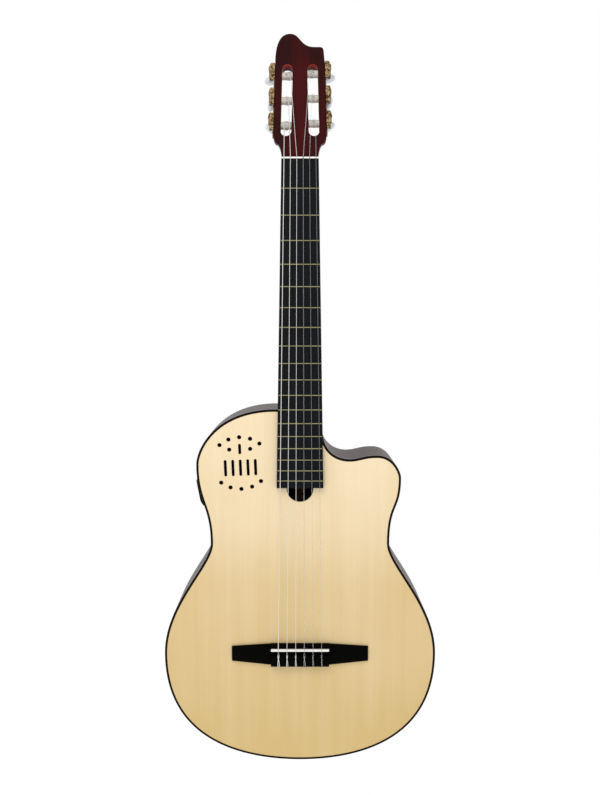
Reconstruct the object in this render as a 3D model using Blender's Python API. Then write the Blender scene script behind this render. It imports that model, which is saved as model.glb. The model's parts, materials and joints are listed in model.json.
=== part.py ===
"""A nylon-string guitar with a cutaway body and a slotted head, in separate pieces.

Lengths are in metres. X points to the treble side, Y to the back and Z up, towards the head.
The origin is at the nut: on the fingerboard's face, on the centreline, at the end of the scale.
"""
import math

import bmesh
import bpy
import numpy as np
from mathutils import Matrix, Vector

# Clearances
GAP = 0.0003
SHAFT_CLEARANCE = 0.0003

# Scale, fingerboard, frets and nut
SCALE_LENGTH = 0.650
FRET_COUNT = 18
FINGERBOARD_PAST_LAST_FRET = 0.0098
FINGERBOARD_THICKNESS = 0.0067
NUT_HALF_WIDTH = 0.0243
FINGERBOARD_END_HALF_WIDTH = 0.0313
FRET_WIDTH = 0.0022
FRET_HEIGHT = 0.0010
TANG_WIDTH = 0.0006
TANG_DEPTH = 0.0018
NUT_THICKNESS = 0.0035
NUT_RISE = 0.0012

# Body outline: distances below the neck joint and half widths
BODY_LENGTH = 0.4855
UPPER_BOUT_HALF = 0.1392
UPPER_BOUT_DROP = 0.0750
WAIST_HALF = 0.1206
WAIST_DROP = 0.1820
LOWER_BOUT_HALF = 0.1846
LOWER_BOUT_DROP = 0.3350
SHOULDER_START = 0.0322
HORN_HALF = 0.1358
HORN_DROP = 0.0930
HORN_TOP_X = 0.1034
HORN_TOP_DROP = 0.0622
VALLEY_X = 0.0660
VALLEY_DROP = 0.0672
CHEEK_HALF = 0.0300
CHEEK_DROP = 0.0270
CHEEK_CORNER_RADIUS = 0.0050

# Body depth, plates, edges
DEPTH_AT_JOINT = 0.092
DEPTH_AT_TAIL = 0.100
SOUNDBOARD_THICKNESS = 0.0027
BACK_THICKNESS = 0.0030
RIB_THICKNESS = 0.0024
BINDING_HEIGHT = 0.0050
LINING_WIDTH = 0.0060
LINING_HEIGHT = 0.0110
LINING_START_X = 0.0400
TAIL_BLOCK_HALF = 0.0330
TAIL_BLOCK_THICKNESS = 0.0180

# Sound openings
MOON_RADIUS = 0.0171
MOON_DROP = 0.0022
MOON_COVER = 0.0030
PORT_CENTRE_X = -0.0800
PORT_CENTRE_DROP = 0.0725
PORT_TURN = math.radians(2.2)
PORT_ARC_RADIUS = 0.0420
PORT_HALF_HEIGHT = 0.0350
PORT_ARC_ANGLES = (-39.5, -20.2, 0.0, 20.2, 39.5)
PORT_HOLE_RADIUS = 0.00275
PORT_INNER_X = 0.0140
PORT_INNER_Z = 0.0188
SLIT_WIDTH = 0.0036
SHORT_SLIT = (0.0120, 0.0262)
LONG_SLIT = (-0.0172, 0.0050)
LONG_SLIT_COUNT = 5
LONG_SLIT_PITCH = 0.0101

# Neck and heel
SHAFT_DEPTH_AT_NUT = 0.0140
SHAFT_DEPTH_AT_HEEL = 0.0170
HEEL_START_DROP = 0.0700
HEEL_FULL_DEPTH = 0.1700
HEEL_GROWTH = 2.4
HEEL_TAPER = 0.55
HEEL_WEB_HALF = 0.0090
FOOT_HALF = 0.0260
FOOT_LENGTH = 0.0320

# Head
HEAD_ANGLE = math.radians(14.0)
HEAD_DROP = 0.0032
HEAD_THICKNESS = 0.0180
HEAD_SHOULDER = 0.0330
HEAD_SHOULDER_HALF = 0.0348
HEAD_SIDE_END = 0.1330
HEAD_SIDE_END_HALF = 0.0328
HEAD_FLARE = (0.0300, 0.0155)
CREST_TOP = (-0.0132, 0.1742)
CREST_STEP = (0.0190, 0.1552)
CREST_STEP_END = 0.0265
CREST_CORNER = (0.0316, 0.1470)
SLOT_START = 0.0296
SLOT_END = 0.1306
SLOT_WIDTH = 0.0140
SLOT_CENTRE = 0.0184

# Tuning machines
ROLLER_FIRST = 0.0463
ROLLER_SPACING = 0.0350
TREBLE_ROLLER_SHIFT = 0.0030
ROLLER_DEPTH = 0.0066
ROLLER_RADIUS = 0.0050
ROLLER_INNER_END = 0.0055
SPINDLE_RADIUS = 0.0020
GEAR_TEETH = 14
GEAR_ROOT_RADIUS = 0.0050
GEAR_TIP_RADIUS = 0.0063
GEAR_PITCH_RADIUS = 0.0054
GEAR_THICKNESS = 0.0030
TOOTH_ROOT_HALF = 0.00055
TOOTH_TIP_HALF = 0.0003
GEAR_OFFSET = 0.0389
WORM_DISTANCE = 0.0084
WORM_CORE_RADIUS = 0.0018
WORM_CREST_RADIUS = 0.00275
WORM_TURNS = 3
THREAD_ROOT_HALF = 0.0005
TUNING_SHAFT_RADIUS = 0.0015
PLATE_THICKNESS = 0.0010
PLATE_HALF_HEIGHT = 0.0075
PLATE_WAVE = 0.0012
PLATE_OVERHANG = 0.0160
EAR_HALF = 0.0024
EAR_RISE = 0.0046
EAR_THICKNESS = 0.0022
BUTTON_START = 0.0270
BUTTON_LENGTH = 0.0180
BUTTON_HALF_WIDTH = 0.0080
BUTTON_HALF_THICKNESS = 0.0037
BUTTON_ANGLES = {1: 35.0, 2: 75.0, 3: 15.0, 4: 5.0, 5: 80.0, 6: -40.0}

# Bridge and saddle
SADDLE_SETBACK = 0.0015
SADDLE_HALF_LENGTH = 0.0393
SADDLE_THICKNESS = 0.0028
SADDLE_TOP = -0.0050
SADDLE_SEAT_DEPTH = 0.0040
BRIDGE_HALF_LENGTH = 0.0928
BRIDGE_BLOCK_HALF = 0.0395
BRIDGE_HEIGHT = 0.0085
BRIDGE_WING_HEIGHT = 0.0042
BRIDGE_FRONT = 0.0065
BRIDGE_REAR = 0.0240
SADDLE_WALL = 0.0009
TIE_BLOCK_START = 0.0085
TIE_GULLY_HEIGHT = 0.0030
TIE_HOLE_HEIGHT = 0.0048
TIE_HOLE_RADIUS = 0.0013
WING_INNER = (0.0064, -0.0234)
WING_OUTER = (0.0027, -0.0175)

# Strings, first to sixth
STRING_RADII = (0.00036, 0.00041, 0.00051, 0.00037, 0.00045, 0.00055)
NUT_STRING_PITCH = 0.00825
SADDLE_STRING_PITCH = 0.01173
STRING_LANDINGS = (0.0206, 0.0150, 0.0128)
WINDING_TURNS = 3
WINDING_STEPS = 10
WINDING_SPACE = 0.0005

# Control unit on the bass rib
PANEL_DROP = 0.1150
PANEL_LENGTH = 0.0375
PANEL_WIDTH = 0.0700
PANEL_THICKNESS = 0.0016
PANEL_CENTRE_DEPTH = 0.0470
PANEL_STANDOFF = 0.0009
PANEL_FLANGE = 0.0030
PANEL_CHAMFER = 0.0040
HOUSING_DEPTH = 0.0220
TRAY_WIDTH = 0.0200
TRAY_LENGTH = 0.0300
TRAY_DEPTH = 0.0500
TRAY_OFFSET = -0.0200
TRAY_WALL = 0.0015
TRAY_NOTCH = (0.0120, 0.0025, 0.0010)
TRAY_NOTCH_INSET = 0.0015
KNOB_RADIUS = 0.0060
KNOB_HEIGHT = 0.0040
KNOB_OFFSET = 0.0240
KNOB_STEM_RADIUS = 0.0030
SLIDER_OFFSETS = {"bass_slider": 0.0110, "treble_slider": 0.0020}
SLIDER_TRAVEL = 0.0080
SLIDER_CAP = (0.0048, 0.0072, 0.0022)
SLIDER_STEM = (0.0016, 0.0030)
CONTROL_POCKET_DEPTH = 0.0060

# End pin with the output jack
JACK_RADIUS = 0.0058
JACK_INSIDE_LENGTH = 0.0380
JACK_DEPTH = 0.0470
JACK_RADII = (0.0095, 0.0095, 0.0062, 0.0062, 0.0086, 0.0086)
JACK_STEPS = (0.0, 0.0022, 0.0040, 0.0080, 0.0120, 0.0138)
SOCKET_RADIUS = 0.0033
SOCKET_DEPTH = 0.0340

# Bracing
BRACE_HEIGHT = 0.0120
FAN_HEIGHT = 0.0065
BRACE_HALF_WIDTH = 0.0035
FAN_HALF_WIDTH = 0.0025
MAIN_BAR_DROP = 0.1420
BAR_END_SPACE = 0.0040
RAIL_X = 0.0320
RAIL_TOP_DROP = 0.0670
FAN_COUNT = 5
FAN_TOP_PITCH = 0.0200
FAN_FOOT_PITCH = 0.0460
FAN_FOOT_RISE = 0.0555
BACK_STRIP_HALF = 0.0080
BACK_STRIP_THICKNESS = 0.0030
BACK_STRIP_DROP = 0.0450
BACK_STRIP_RISE = 0.0295
BACK_BAR_DROPS = (0.0810, 0.2000)
BACK_BAR_RISES = (0.1755, 0.0755)

# Worked-out places
JOINT_Z = -SCALE_LENGTH / 2
TAIL_Z = JOINT_Z - BODY_LENGTH
TOP_Y = FINGERBOARD_THICKNESS + GAP
SADDLE_Z = -SCALE_LENGTH - SADDLE_SETBACK
NUT_TOP = -NUT_RISE
HEAD_START = NUT_THICKNESS + GAP
GEAR_CIRCULAR_PITCH = 2 * math.pi * GEAR_PITCH_RADIUS / GEAR_TEETH
HEAD_ALONG = Vector((0.0, math.sin(HEAD_ANGLE), math.cos(HEAD_ANGLE)))
HEAD_BACK = Vector((0.0, math.cos(HEAD_ANGLE), -math.sin(HEAD_ANGLE)))
HEAD_ORIGIN = Vector((0.0, HEAD_DROP, HEAD_START))

# Finishes: colour, roughness, metallic
FINISHES = {
    "spruce": ((0.86, 0.72, 0.49), 0.35, 0.0),
    "black_binding": ((0.012, 0.008, 0.008), 0.25, 0.0),
    "rosewood": ((0.075, 0.035, 0.03), 0.2, 0.0),
    "mahogany": ((0.11, 0.022, 0.018), 0.22, 0.0),
    "cedar": ((0.52, 0.34, 0.2), 0.6, 0.0),
    "ebony": ((0.02, 0.02, 0.024), 0.4, 0.0),
    "brass": ((0.78, 0.6, 0.3), 0.28, 1.0),
    "bone": ((0.93, 0.92, 0.88), 0.35, 0.0),
    "black_wood": ((0.015, 0.012, 0.013), 0.35, 0.0),
    "wound_string": ((0.78, 0.78, 0.8), 0.3, 1.0),
    "nylon": ((0.82, 0.83, 0.85), 0.2, 0.0),
    "roller": ((0.85, 0.85, 0.84), 0.35, 0.0),
    "pearl": ((0.8, 0.82, 0.85), 0.2, 0.0),
    "black_plastic": ((0.02, 0.02, 0.02), 0.45, 0.0),
    "grey_plastic": ((0.3, 0.3, 0.31), 0.4, 0.0),
    "chrome": ((0.75, 0.75, 0.77), 0.15, 1.0),
}


def clear_scene():
    """Remove every object of the open scene."""
    for old in list(bpy.data.objects):
        bpy.data.objects.remove(old, do_unlink=True)


def finish(obj, kind):
    """Give an object its own material of one of the finishes."""
    colour, roughness, metallic = FINISHES[kind]
    material = bpy.data.materials.new(obj.name + "_finish")
    material.use_nodes = True
    shader = material.node_tree.nodes["Principled BSDF"]
    shader.inputs["Base Color"].default_value = (*colour, 1.0)
    shader.inputs["Roughness"].default_value = roughness
    shader.inputs["Metallic"].default_value = metallic
    obj.data.materials.append(material)


def add_object(name, mesh, kind=None):
    """Link a mesh as a named object; without a finish it is a tool shape that isn't built."""
    obj = bpy.data.objects.new(name, mesh)
    bpy.context.scene.collection.objects.link(obj)
    if kind is None:
        obj.hide_render = True
        obj.display_type = "WIRE"
    else:
        finish(obj, kind)
    return obj


def solid(name, vertices, faces, kind=None, smooth=None):
    """An object from vertices and faces, with its faces turned outwards."""
    mesh = bpy.data.meshes.new(name)
    mesh.from_pydata([tuple(v) for v in vertices], [], faces)
    shape = bmesh.new()
    shape.from_mesh(mesh)
    bmesh.ops.recalc_face_normals(shape, faces=shape.faces)
    shape.to_mesh(mesh)
    shape.free()
    if smooth is not None:
        mesh.shade_smooth()
        mesh.set_sharp_from_angle(angle=math.radians(smooth))
    return add_object(name, mesh, kind)


def skin(name, rings, kind=None, smooth=None, closed=False):
    """A closed solid through rings of equally many points, capped at both ends unless closed."""
    count = len(rings[0])
    vertices = [v for ring in rings for v in ring]
    faces = []
    spans = len(rings) if closed else len(rings) - 1
    for i in range(spans):
        a = i * count
        b = ((i + 1) % len(rings)) * count
        for j in range(count):
            k = (j + 1) % count
            faces.append((a + j, a + k, b + k, b + j))
    if not closed:
        faces.append(tuple(reversed(range(count))))
        faces.append(tuple(range(len(vertices) - count, len(vertices))))
    return solid(name, vertices, faces, kind, smooth)


def box(name, low, high, kind=None):
    """A box between two corners."""
    ring = [(low[0], low[1]), (high[0], low[1]), (high[0], high[1]), (low[0], high[1])]
    return skin(name, [[(x, y, z) for x, y in ring] for z in (low[2], high[2])], kind)


def lathe(name, profile, place, sides, kind=None, smooth=40):
    """Turn a list of (radius, distance along the axis); place maps (a, b, along) to a point."""
    rings = []
    for radius, along in profile:
        turn = [2 * math.pi * i / sides for i in range(sides)]
        rings.append([place(radius * math.cos(t), radius * math.sin(t), along) for t in turn])
    return skin(name, rings, kind, smooth)


def combine(target, tool, operation):
    """Add an exact Boolean of a tool shape to a target."""
    modifier = target.modifiers.new(tool.name, "BOOLEAN")
    modifier.operation = operation
    modifier.solver = "EXACT"
    modifier.object = tool


def cut(target, tool):
    """Take a tool shape out of a target."""
    combine(target, tool, "DIFFERENCE")


def fuse(target, tool):
    """Join a tool shape to a target."""
    combine(target, tool, "UNION")


def joined(name, objects):
    """One tool object that holds the meshes of several."""
    shape = bmesh.new()
    for obj in objects:
        shape.from_mesh(obj.data)
        bpy.data.objects.remove(obj, do_unlink=True)
    mesh = bpy.data.meshes.new(name)
    shape.to_mesh(mesh)
    shape.free()
    return add_object(name, mesh)


def move_origin(obj, point):
    """Put an object's origin on its joint without moving its shape."""
    obj.data.transform(Matrix.Translation(-Vector(point)))
    obj.location = point


def fret_z(number):
    """Height of a fret below the nut by the twelfth-root rule."""
    return -SCALE_LENGTH * (1 - 2 ** (-number / 12))


FINGERBOARD_END_Z = fret_z(FRET_COUNT) - FINGERBOARD_PAST_LAST_FRET


def board_half_width(z):
    """Half width of the fingerboard at a height; it widens evenly from the nut to its end."""
    share = z / FINGERBOARD_END_Z
    return NUT_HALF_WIDTH + (FINGERBOARD_END_HALF_WIDTH - NUT_HALF_WIDTH) * share


def back_y(z):
    """Depth of the back's outer face, which slopes evenly from the neck joint to the tail."""
    share = (JOINT_Z - z) / BODY_LENGTH
    return TOP_Y + DEPTH_AT_JOINT + (DEPTH_AT_TAIL - DEPTH_AT_JOINT) * share


def head_point(x, along, depth):
    """A point of the head: across, along from its start, and in from its face."""
    return Vector((x, 0.0, 0.0)) + HEAD_ORIGIN + HEAD_ALONG * along + HEAD_BACK * depth


def bezier(start, leave, arrive, end, steps):
    """Points of a cubic Bezier curve after its start, with the tangent at each."""
    points = []
    tangents = []
    for i in range(1, steps + 1):
        t = i / steps
        s = 1 - t
        point = s ** 3 * start + 3 * s * s * t * leave + 3 * s * t * t * arrive + t ** 3 * end
        slope = s * s * (leave - start) + 2 * s * t * (arrive - leave) + t * t * (end - arrive)
        if not slope.any():
            slope = end - leave
        points.append(point)
        tangents.append(slope / np.linalg.norm(slope))
    return points, tangents


def edge_curve(stations):
    """A smooth curve through stations that are level ("h") or upright ("v") there.

    Each station is (x, z, heading, reach in, reach out, steps from the station before). A reach
    is the share of the step to the neighbour, across or up, that the curve keeps its heading for.
    """
    x, z, heading = stations[0][:3]
    points = [np.array((x, z))]
    step = np.array(stations[1][:2]) - points[0]
    first = step * (1.0, 0.0) if heading == "h" else step * (0.0, 1.0)
    tangents = [first / np.linalg.norm(first)]
    for before, after in zip(stations[:-1], stations[1:]):
        start = np.array(before[:2])
        end = np.array(after[:2])
        step = end - start
        keep_out = step * ((before[4], 0.0) if before[2] == "h" else (0.0, before[4]))
        keep_in = step * ((after[3], 0.0) if after[2] == "h" else (0.0, after[3]))
        more, slopes = bezier(start, start + keep_out, end - keep_in, end, after[5])
        points += more
        tangents += slopes
    return points, tangents


def body_edge():
    """The body's outer edge, from the bass side of the heel's web round the tail to its treble side.

    Returns points (x, z) and inward normals. The tail's point is the one at x = 0.
    """
    lower_z = JOINT_Z - LOWER_BOUT_DROP
    waist_z = JOINT_Z - WAIST_DROP
    stations = [
        (-SHOULDER_START, JOINT_Z, "h", 0.0, 0.764, 0),
        (-UPPER_BOUT_HALF, JOINT_Z - UPPER_BOUT_DROP, "v", 0.281, 0.474, 11),
        (-WAIST_HALF, waist_z, "v", 0.490, 0.193, 5),
        (-LOWER_BOUT_HALF, lower_z, "v", 0.447, 0.888, 7),
        (0.0, TAIL_Z, "h", 0.342, 0.342, 11),
        (LOWER_BOUT_HALF, lower_z, "v", 0.888, 0.447, 11),
        (WAIST_HALF, waist_z, "v", 0.193, 0.626, 7),
        (HORN_HALF, JOINT_Z - HORN_DROP, "v", 0.501, 0.220, 5),
        (HORN_TOP_X, JOINT_Z - HORN_TOP_DROP, "h", 0.740, 0.509, 7),
        (VALLEY_X, JOINT_Z - VALLEY_DROP, "h", 0.373, 0.342, 4),
        (CHEEK_HALF, JOINT_Z - CHEEK_DROP, "v", 0.825, 0.0, 6),
    ]
    points, tangents = edge_curve(stations)
    web = HEEL_WEB_HALF + GAP
    points.insert(0, np.array((-web, JOINT_Z)))
    tangents.insert(0, np.array((-1.0, 0.0)))
    centre = np.array((CHEEK_HALF - CHEEK_CORNER_RADIUS, JOINT_Z - CHEEK_CORNER_RADIUS))
    for turn in np.linspace(0.0, math.pi / 2, 4):
        out = np.array((math.cos(turn), math.sin(turn)))
        points.append(centre + CHEEK_CORNER_RADIUS * out)
        tangents.append(np.array((-out[1], out[0])))
    points.append(np.array((web, JOINT_Z)))
    tangents.append(np.array((-1.0, 0.0)))
    normals = [np.array((-t[1], t[0])) for t in tangents]
    return points, normals


def part_of_edge(edge, keep):
    """The stretch of an edge whose points pass a test."""
    chosen = [(p, n) for p, n in zip(*edge) if keep(p)]
    return [p for p, n in chosen], [n for p, n in chosen]


def inset(edge, distance):
    """Points of an edge moved inwards."""
    return [p + n * distance for p, n in zip(*edge)]


def edge_strip(name, edge, section, kind, smooth=30):
    """A strip whose section, given as (inset, depth function of z), follows an edge."""
    rings = []
    for p, n in zip(*edge):
        places = [(p + n * distance, depth) for distance, depth in section]
        rings.append([(q[0], depth(q[1]), q[1]) for q, depth in places])
    return skin(name, rings, kind, smooth)


def plate(name, points, front, back, kind=None, smooth=None):
    """A plate with an outline of (x, z) points between two depth functions of z."""
    rings = [[(p[0], depth(p[1]), p[1]) for p in points] for depth in (front, back)]
    return skin(name, rings, kind, smooth)


def level(y):
    """A depth function that is the same everywhere."""
    return lambda z: y


def off_back(distance):
    """A depth function that keeps a distance in front of the back's outer face."""
    return lambda z: back_y(z) - distance


def round_slit(x, low, high, width, turn=0.0, centre=(0.0, 0.0), steps=6):
    """Outline of an upright slit with round ends, turned about a centre."""
    half = width / 2
    points = []
    for end, start in ((high - half, 0.0), (low + half, math.pi)):
        for i in range(steps + 1):
            angle = start + math.pi * i / steps
            points.append((x + half * math.cos(angle), end + half * math.sin(angle)))
    c, s = math.cos(turn), math.sin(turn)
    return [(centre[0] + c * px - s * pz, centre[1] + s * px + c * pz) for px, pz in points]


def sound_opening_tools():
    """Cutters for the half-moon, the round holes and the slits of the soundboard."""
    front = level(TOP_Y - SOUNDBOARD_THICKNESS)
    back = level(TOP_Y + 2 * SOUNDBOARD_THICKNESS)
    moon_z = FINGERBOARD_END_Z - MOON_DROP
    moon_top = FINGERBOARD_END_Z + MOON_COVER
    moon = [(MOON_RADIUS, moon_top), (-MOON_RADIUS, moon_top)]
    for i in range(15):
        angle = math.pi + math.pi * i / 14
        moon.append((MOON_RADIUS * math.cos(angle), moon_z + MOON_RADIUS * math.sin(angle)))
    tools = [plate("moon_tool", moon, front, back)]
    outlines = []
    for sign in (1, -1):
        arc_centre = sign * (PORT_HALF_HEIGHT - PORT_ARC_RADIUS)
        for degrees in PORT_ARC_ANGLES:
            angle = math.radians(degrees)
            x = PORT_ARC_RADIUS * math.sin(angle)
            z = arc_centre + sign * PORT_ARC_RADIUS * math.cos(angle)
            outlines.append((x, z))
        outlines.append((sign * PORT_INNER_X, PORT_INNER_Z))
    centre = (PORT_CENTRE_X, JOINT_Z - PORT_CENTRE_DROP)
    size = 2 * PORT_HOLE_RADIUS
    slits = [round_slit(x, z - size / 2, z + size / 2, size, PORT_TURN, centre) for x, z in outlines]
    slits.append(round_slit(0.0, *SHORT_SLIT, SLIT_WIDTH, PORT_TURN, centre, 4))
    for i in range(LONG_SLIT_COUNT):
        x = (i - (LONG_SLIT_COUNT - 1) / 2) * LONG_SLIT_PITCH
        slits.append(round_slit(x, *LONG_SLIT, SLIT_WIDTH, PORT_TURN, centre, 4))
    for i, outline in enumerate(slits):
        tools.append(plate(f"port_tool_{i}", tidy_loop(outline), front, back))
    return joined("sound_opening_tools", tools)


def tidy_loop(points):
    """A closed loop without points that fall on the one before."""
    kept = []
    for i, point in enumerate(points):
        before = points[i - 1]
        if math.dist(point, before) > GAP / 3:
            kept.append(point)
    return kept


def build_body(edge):
    """Soundboard, back, ribs, bindings, linings and tail block."""
    bound = RIB_THICKNESS + GAP
    soundboard_inner = TOP_Y + SOUNDBOARD_THICKNESS
    soundboard = plate("soundboard", inset(edge, bound), level(TOP_Y), level(soundboard_inner), "spruce", 30)
    cut(soundboard, sound_opening_tools())
    plate("back_plate", inset(edge, bound), off_back(BACK_THICKNESS), off_back(0.0), "rosewood", 30)
    binding_back = TOP_Y + BINDING_HEIGHT
    front_section = [
        (0.0, level(TOP_Y)),
        (0.0, level(binding_back)),
        (RIB_THICKNESS, level(binding_back)),
        (RIB_THICKNESS, level(TOP_Y)),
    ]
    edge_strip("binding_top", edge, front_section, "black_binding")
    rear_section = [
        (0.0, off_back(BINDING_HEIGHT)),
        (0.0, off_back(0.0)),
        (RIB_THICKNESS, off_back(0.0)),
        (RIB_THICKNESS, off_back(BINDING_HEIGHT)),
    ]
    edge_strip("binding_back", edge, rear_section, "black_binding")

    rib_section = [
        (0.0, level(binding_back + GAP)),
        (0.0, off_back(BINDING_HEIGHT + GAP)),
        (RIB_THICKNESS, off_back(BINDING_HEIGHT + GAP)),
        (RIB_THICKNESS, level(binding_back + GAP)),
    ]
    tail_index = min(range(len(edge[0])), key=lambda i: edge[0][i][1])
    seam = np.array((GAP / 2, 0.0))
    points, normals = edge
    bass = (points[:tail_index] + [points[tail_index] - seam], normals[:tail_index + 1])
    treble = ([points[tail_index] + seam] + points[tail_index + 1:], normals[tail_index:])
    side_bass = edge_strip("side_bass", bass, rib_section, "rosewood")
    side_treble = edge_strip("side_treble", treble, rib_section, "rosewood")

    lined = part_of_edge(edge, lambda p: abs(p[0]) > LINING_START_X or p[1] < TAIL_Z + BODY_LENGTH / 3)
    inside = bound + LINING_WIDTH
    front_y = soundboard_inner + GAP
    lining_end = front_y + LINING_HEIGHT
    lining_section = [
        (bound, level(front_y)),
        (bound, level(lining_end)),
        (inside, level(front_y + LINING_HEIGHT / 3)),
        (inside, level(front_y)),
    ]
    edge_strip("lining_top", lined, lining_section, "cedar")
    back_inner = BACK_THICKNESS + GAP
    back_lining_section = [
        (bound, off_back(back_inner)),
        (bound, off_back(back_inner + LINING_HEIGHT)),
        (inside, off_back(back_inner + LINING_HEIGHT / 3)),
        (inside, off_back(back_inner)),
    ]
    edge_strip("lining_back", lined, back_lining_section, "cedar")

    at_tail = part_of_edge(edge, lambda p: abs(p[0]) < TAIL_BLOCK_HALF and p[1] < TAIL_Z + BODY_LENGTH / 3)
    block_inside = bound + TAIL_BLOCK_THICKNESS
    block_section = [
        (inside + GAP, level(front_y)),
        (inside + GAP, level(lining_end + GAP)),
        (bound, level(lining_end + GAP)),
        (bound, off_back(back_inner + LINING_HEIGHT + GAP)),
        (inside + GAP, off_back(back_inner + LINING_HEIGHT + GAP)),
        (inside + GAP, off_back(back_inner)),
        (block_inside, off_back(back_inner)),
        (block_inside, level(front_y)),
    ]
    tail_block = edge_strip("tail_block", at_tail, block_section, "cedar")
    return side_bass, side_treble, tail_block


def shaft_depth(z):
    """Depth of the neck behind the fingerboard at a height, with the heel's growth near the joint."""
    share = z / JOINT_Z
    depth = SHAFT_DEPTH_AT_NUT + (SHAFT_DEPTH_AT_HEEL - SHAFT_DEPTH_AT_NUT) * share
    heel = max(0.0, (JOINT_Z + HEEL_START_DROP - z) / HEEL_START_DROP)
    return depth + (HEEL_FULL_DEPTH - SHAFT_DEPTH_AT_HEEL) * heel ** HEEL_GROWTH, heel


def neck_ring(z, sides=18):
    """One level section of the neck: a rounded D that narrows and deepens into the heel."""
    depth, heel = shaft_depth(z)
    half = board_half_width(z)
    cap = back_y(JOINT_Z)
    squareness = 0.8 + 0.75 * heel
    ring = []
    for i in range(sides + 1):
        angle = math.pi * i / sides
        across = math.cos(angle)
        y = min(TOP_Y + depth * math.sin(angle), cap)
        narrow = 1 - HEEL_TAPER * heel * (y - TOP_Y) / (cap - TOP_Y)
        x = math.copysign(half * abs(across) ** squareness * narrow, across)
        ring.append((x, y, z))
    return ring


def head_outline():
    """The head's outline as (x, along): flared shoulders, straight sides and an offset crest."""
    lower = NUT_HALF_WIDTH - GAP
    stations = [
        (-lower, 0.0, "v", 0.0, 0.70, 0),
        (-HEAD_FLARE[0], HEAD_FLARE[1], "h", 0.30, 0.45, 4),
        (-HEAD_SHOULDER_HALF, HEAD_SHOULDER, "v", 0.55, 0.0, 4),
    ]
    crest = [
        (-HEAD_SIDE_END_HALF, HEAD_SIDE_END, "v", 0.0, 0.55, 0),
        (*CREST_TOP, "h", 0.75, 0.45, 9),
        (*CREST_STEP, "h", 0.60, 0.0, 8),
        (CREST_STEP_END, CREST_STEP[1], "h", 0.0, 0.75, 1),
        (*CREST_CORNER, "v", 0.60, 0.0, 4),
        (HEAD_SIDE_END_HALF, HEAD_SIDE_END, "v", 0.0, 0.0, 1),
    ]
    left = edge_curve(stations)[0]
    top = edge_curve(crest)[0]
    right = [np.array((-p[0], p[1])) for p in reversed(left)]
    return left + top + right


def head_half_width(along):
    """Half width of the head between its shoulders and the ends of its straight sides."""
    share = (along - HEAD_SHOULDER) / (HEAD_SIDE_END - HEAD_SHOULDER)
    return HEAD_SHOULDER_HALF + (HEAD_SIDE_END_HALF - HEAD_SHOULDER_HALF) * share


def slot_lean(along):
    """How far a slot's centreline has drawn in at a distance along the head."""
    return HEAD_SHOULDER_HALF - head_half_width(along)


def roller_along(string):
    """Place along the head of a string's roller: the outer strings take the nearest one."""
    order = string - 1 if string <= 3 else 6 - string
    shift = TREBLE_ROLLER_SHIFT if string <= 3 else 0.0
    return ROLLER_FIRST + order * ROLLER_SPACING + shift


def side_of(string):
    """+1 for the three treble strings, -1 for the three bass strings."""
    return 1 if string <= 3 else -1


def build_neck():
    """The neck with its heel, the foot inside the body and the slotted head."""
    shaft_z = [HEAD_START + 0.007, -0.03, -0.12, JOINT_Z + HEEL_START_DROP + 0.01]
    heel_z = [JOINT_Z + HEEL_START_DROP * (1 - i / 9) for i in range(1, 9)]
    rings = [neck_ring(z) for z in shaft_z + heel_z + [JOINT_Z + GAP]]
    neck = skin("neck", rings, "mahogany", 50)
    outline = head_outline()
    faces = [[head_point(p[0], p[1], depth) for p in outline] for depth in (0.0, HEAD_THICKNESS)]
    fuse(neck, skin("head_tool", faces))
    seat_low = (-HEAD_SHOULDER_HALF, NUT_TOP - 0.002, -0.001)
    seat_high = (HEAD_SHOULDER_HALF, TOP_Y + GAP / 3, NUT_THICKNESS + GAP)
    cut(neck, box("nut_seat_tool", seat_low, seat_high))
    top = JOINT_Z + 2 * GAP + 0.004
    step = JOINT_Z - RIB_THICKNESS - GAP
    foot_end = JOINT_Z - FOOT_LENGTH
    foot = [
        (-HEEL_WEB_HALF, top),
        (-HEEL_WEB_HALF, step),
        (-FOOT_HALF, step),
        (-FOOT_HALF, foot_end),
        (FOOT_HALF, foot_end),
        (FOOT_HALF, step),
        (HEEL_WEB_HALF, step),
        (HEEL_WEB_HALF, top),
    ]
    foot_front = level(TOP_Y + SOUNDBOARD_THICKNESS + GAP)
    fuse(neck, plate("foot_tool", foot, foot_front, off_back(BACK_THICKNESS + GAP)))
    for side in (-1, 1):
        slot = []
        for x, along in round_slit(0.0, SLOT_START, SLOT_END, SLOT_WIDTH):
            slot.append((side * (SLOT_CENTRE - slot_lean(along)) + x, along))
        rings = [[head_point(x, along, depth) for x, along in tidy_loop(slot)] for depth in (-0.002, 0.025)]
        cut(neck, skin(f"slot_tool_{side}", rings))
    holes = []
    for string in range(1, 7):
        along = roller_along(string)
        side = side_of(string)
        radius = ROLLER_RADIUS + SHAFT_CLEARANCE
        ends = [(radius, ROLLER_INNER_END - SHAFT_CLEARANCE), (radius, HEAD_SHOULDER_HALF + 0.003)]

        def place(a, b, x, along=along, side=side):
            return head_point(side * x, along + a, ROLLER_DEPTH + b)

        holes.append(lathe(f"roller_hole_tool_{string}", ends, place, 14))
    cut(neck, joined("roller_hole_tools", holes))


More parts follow.
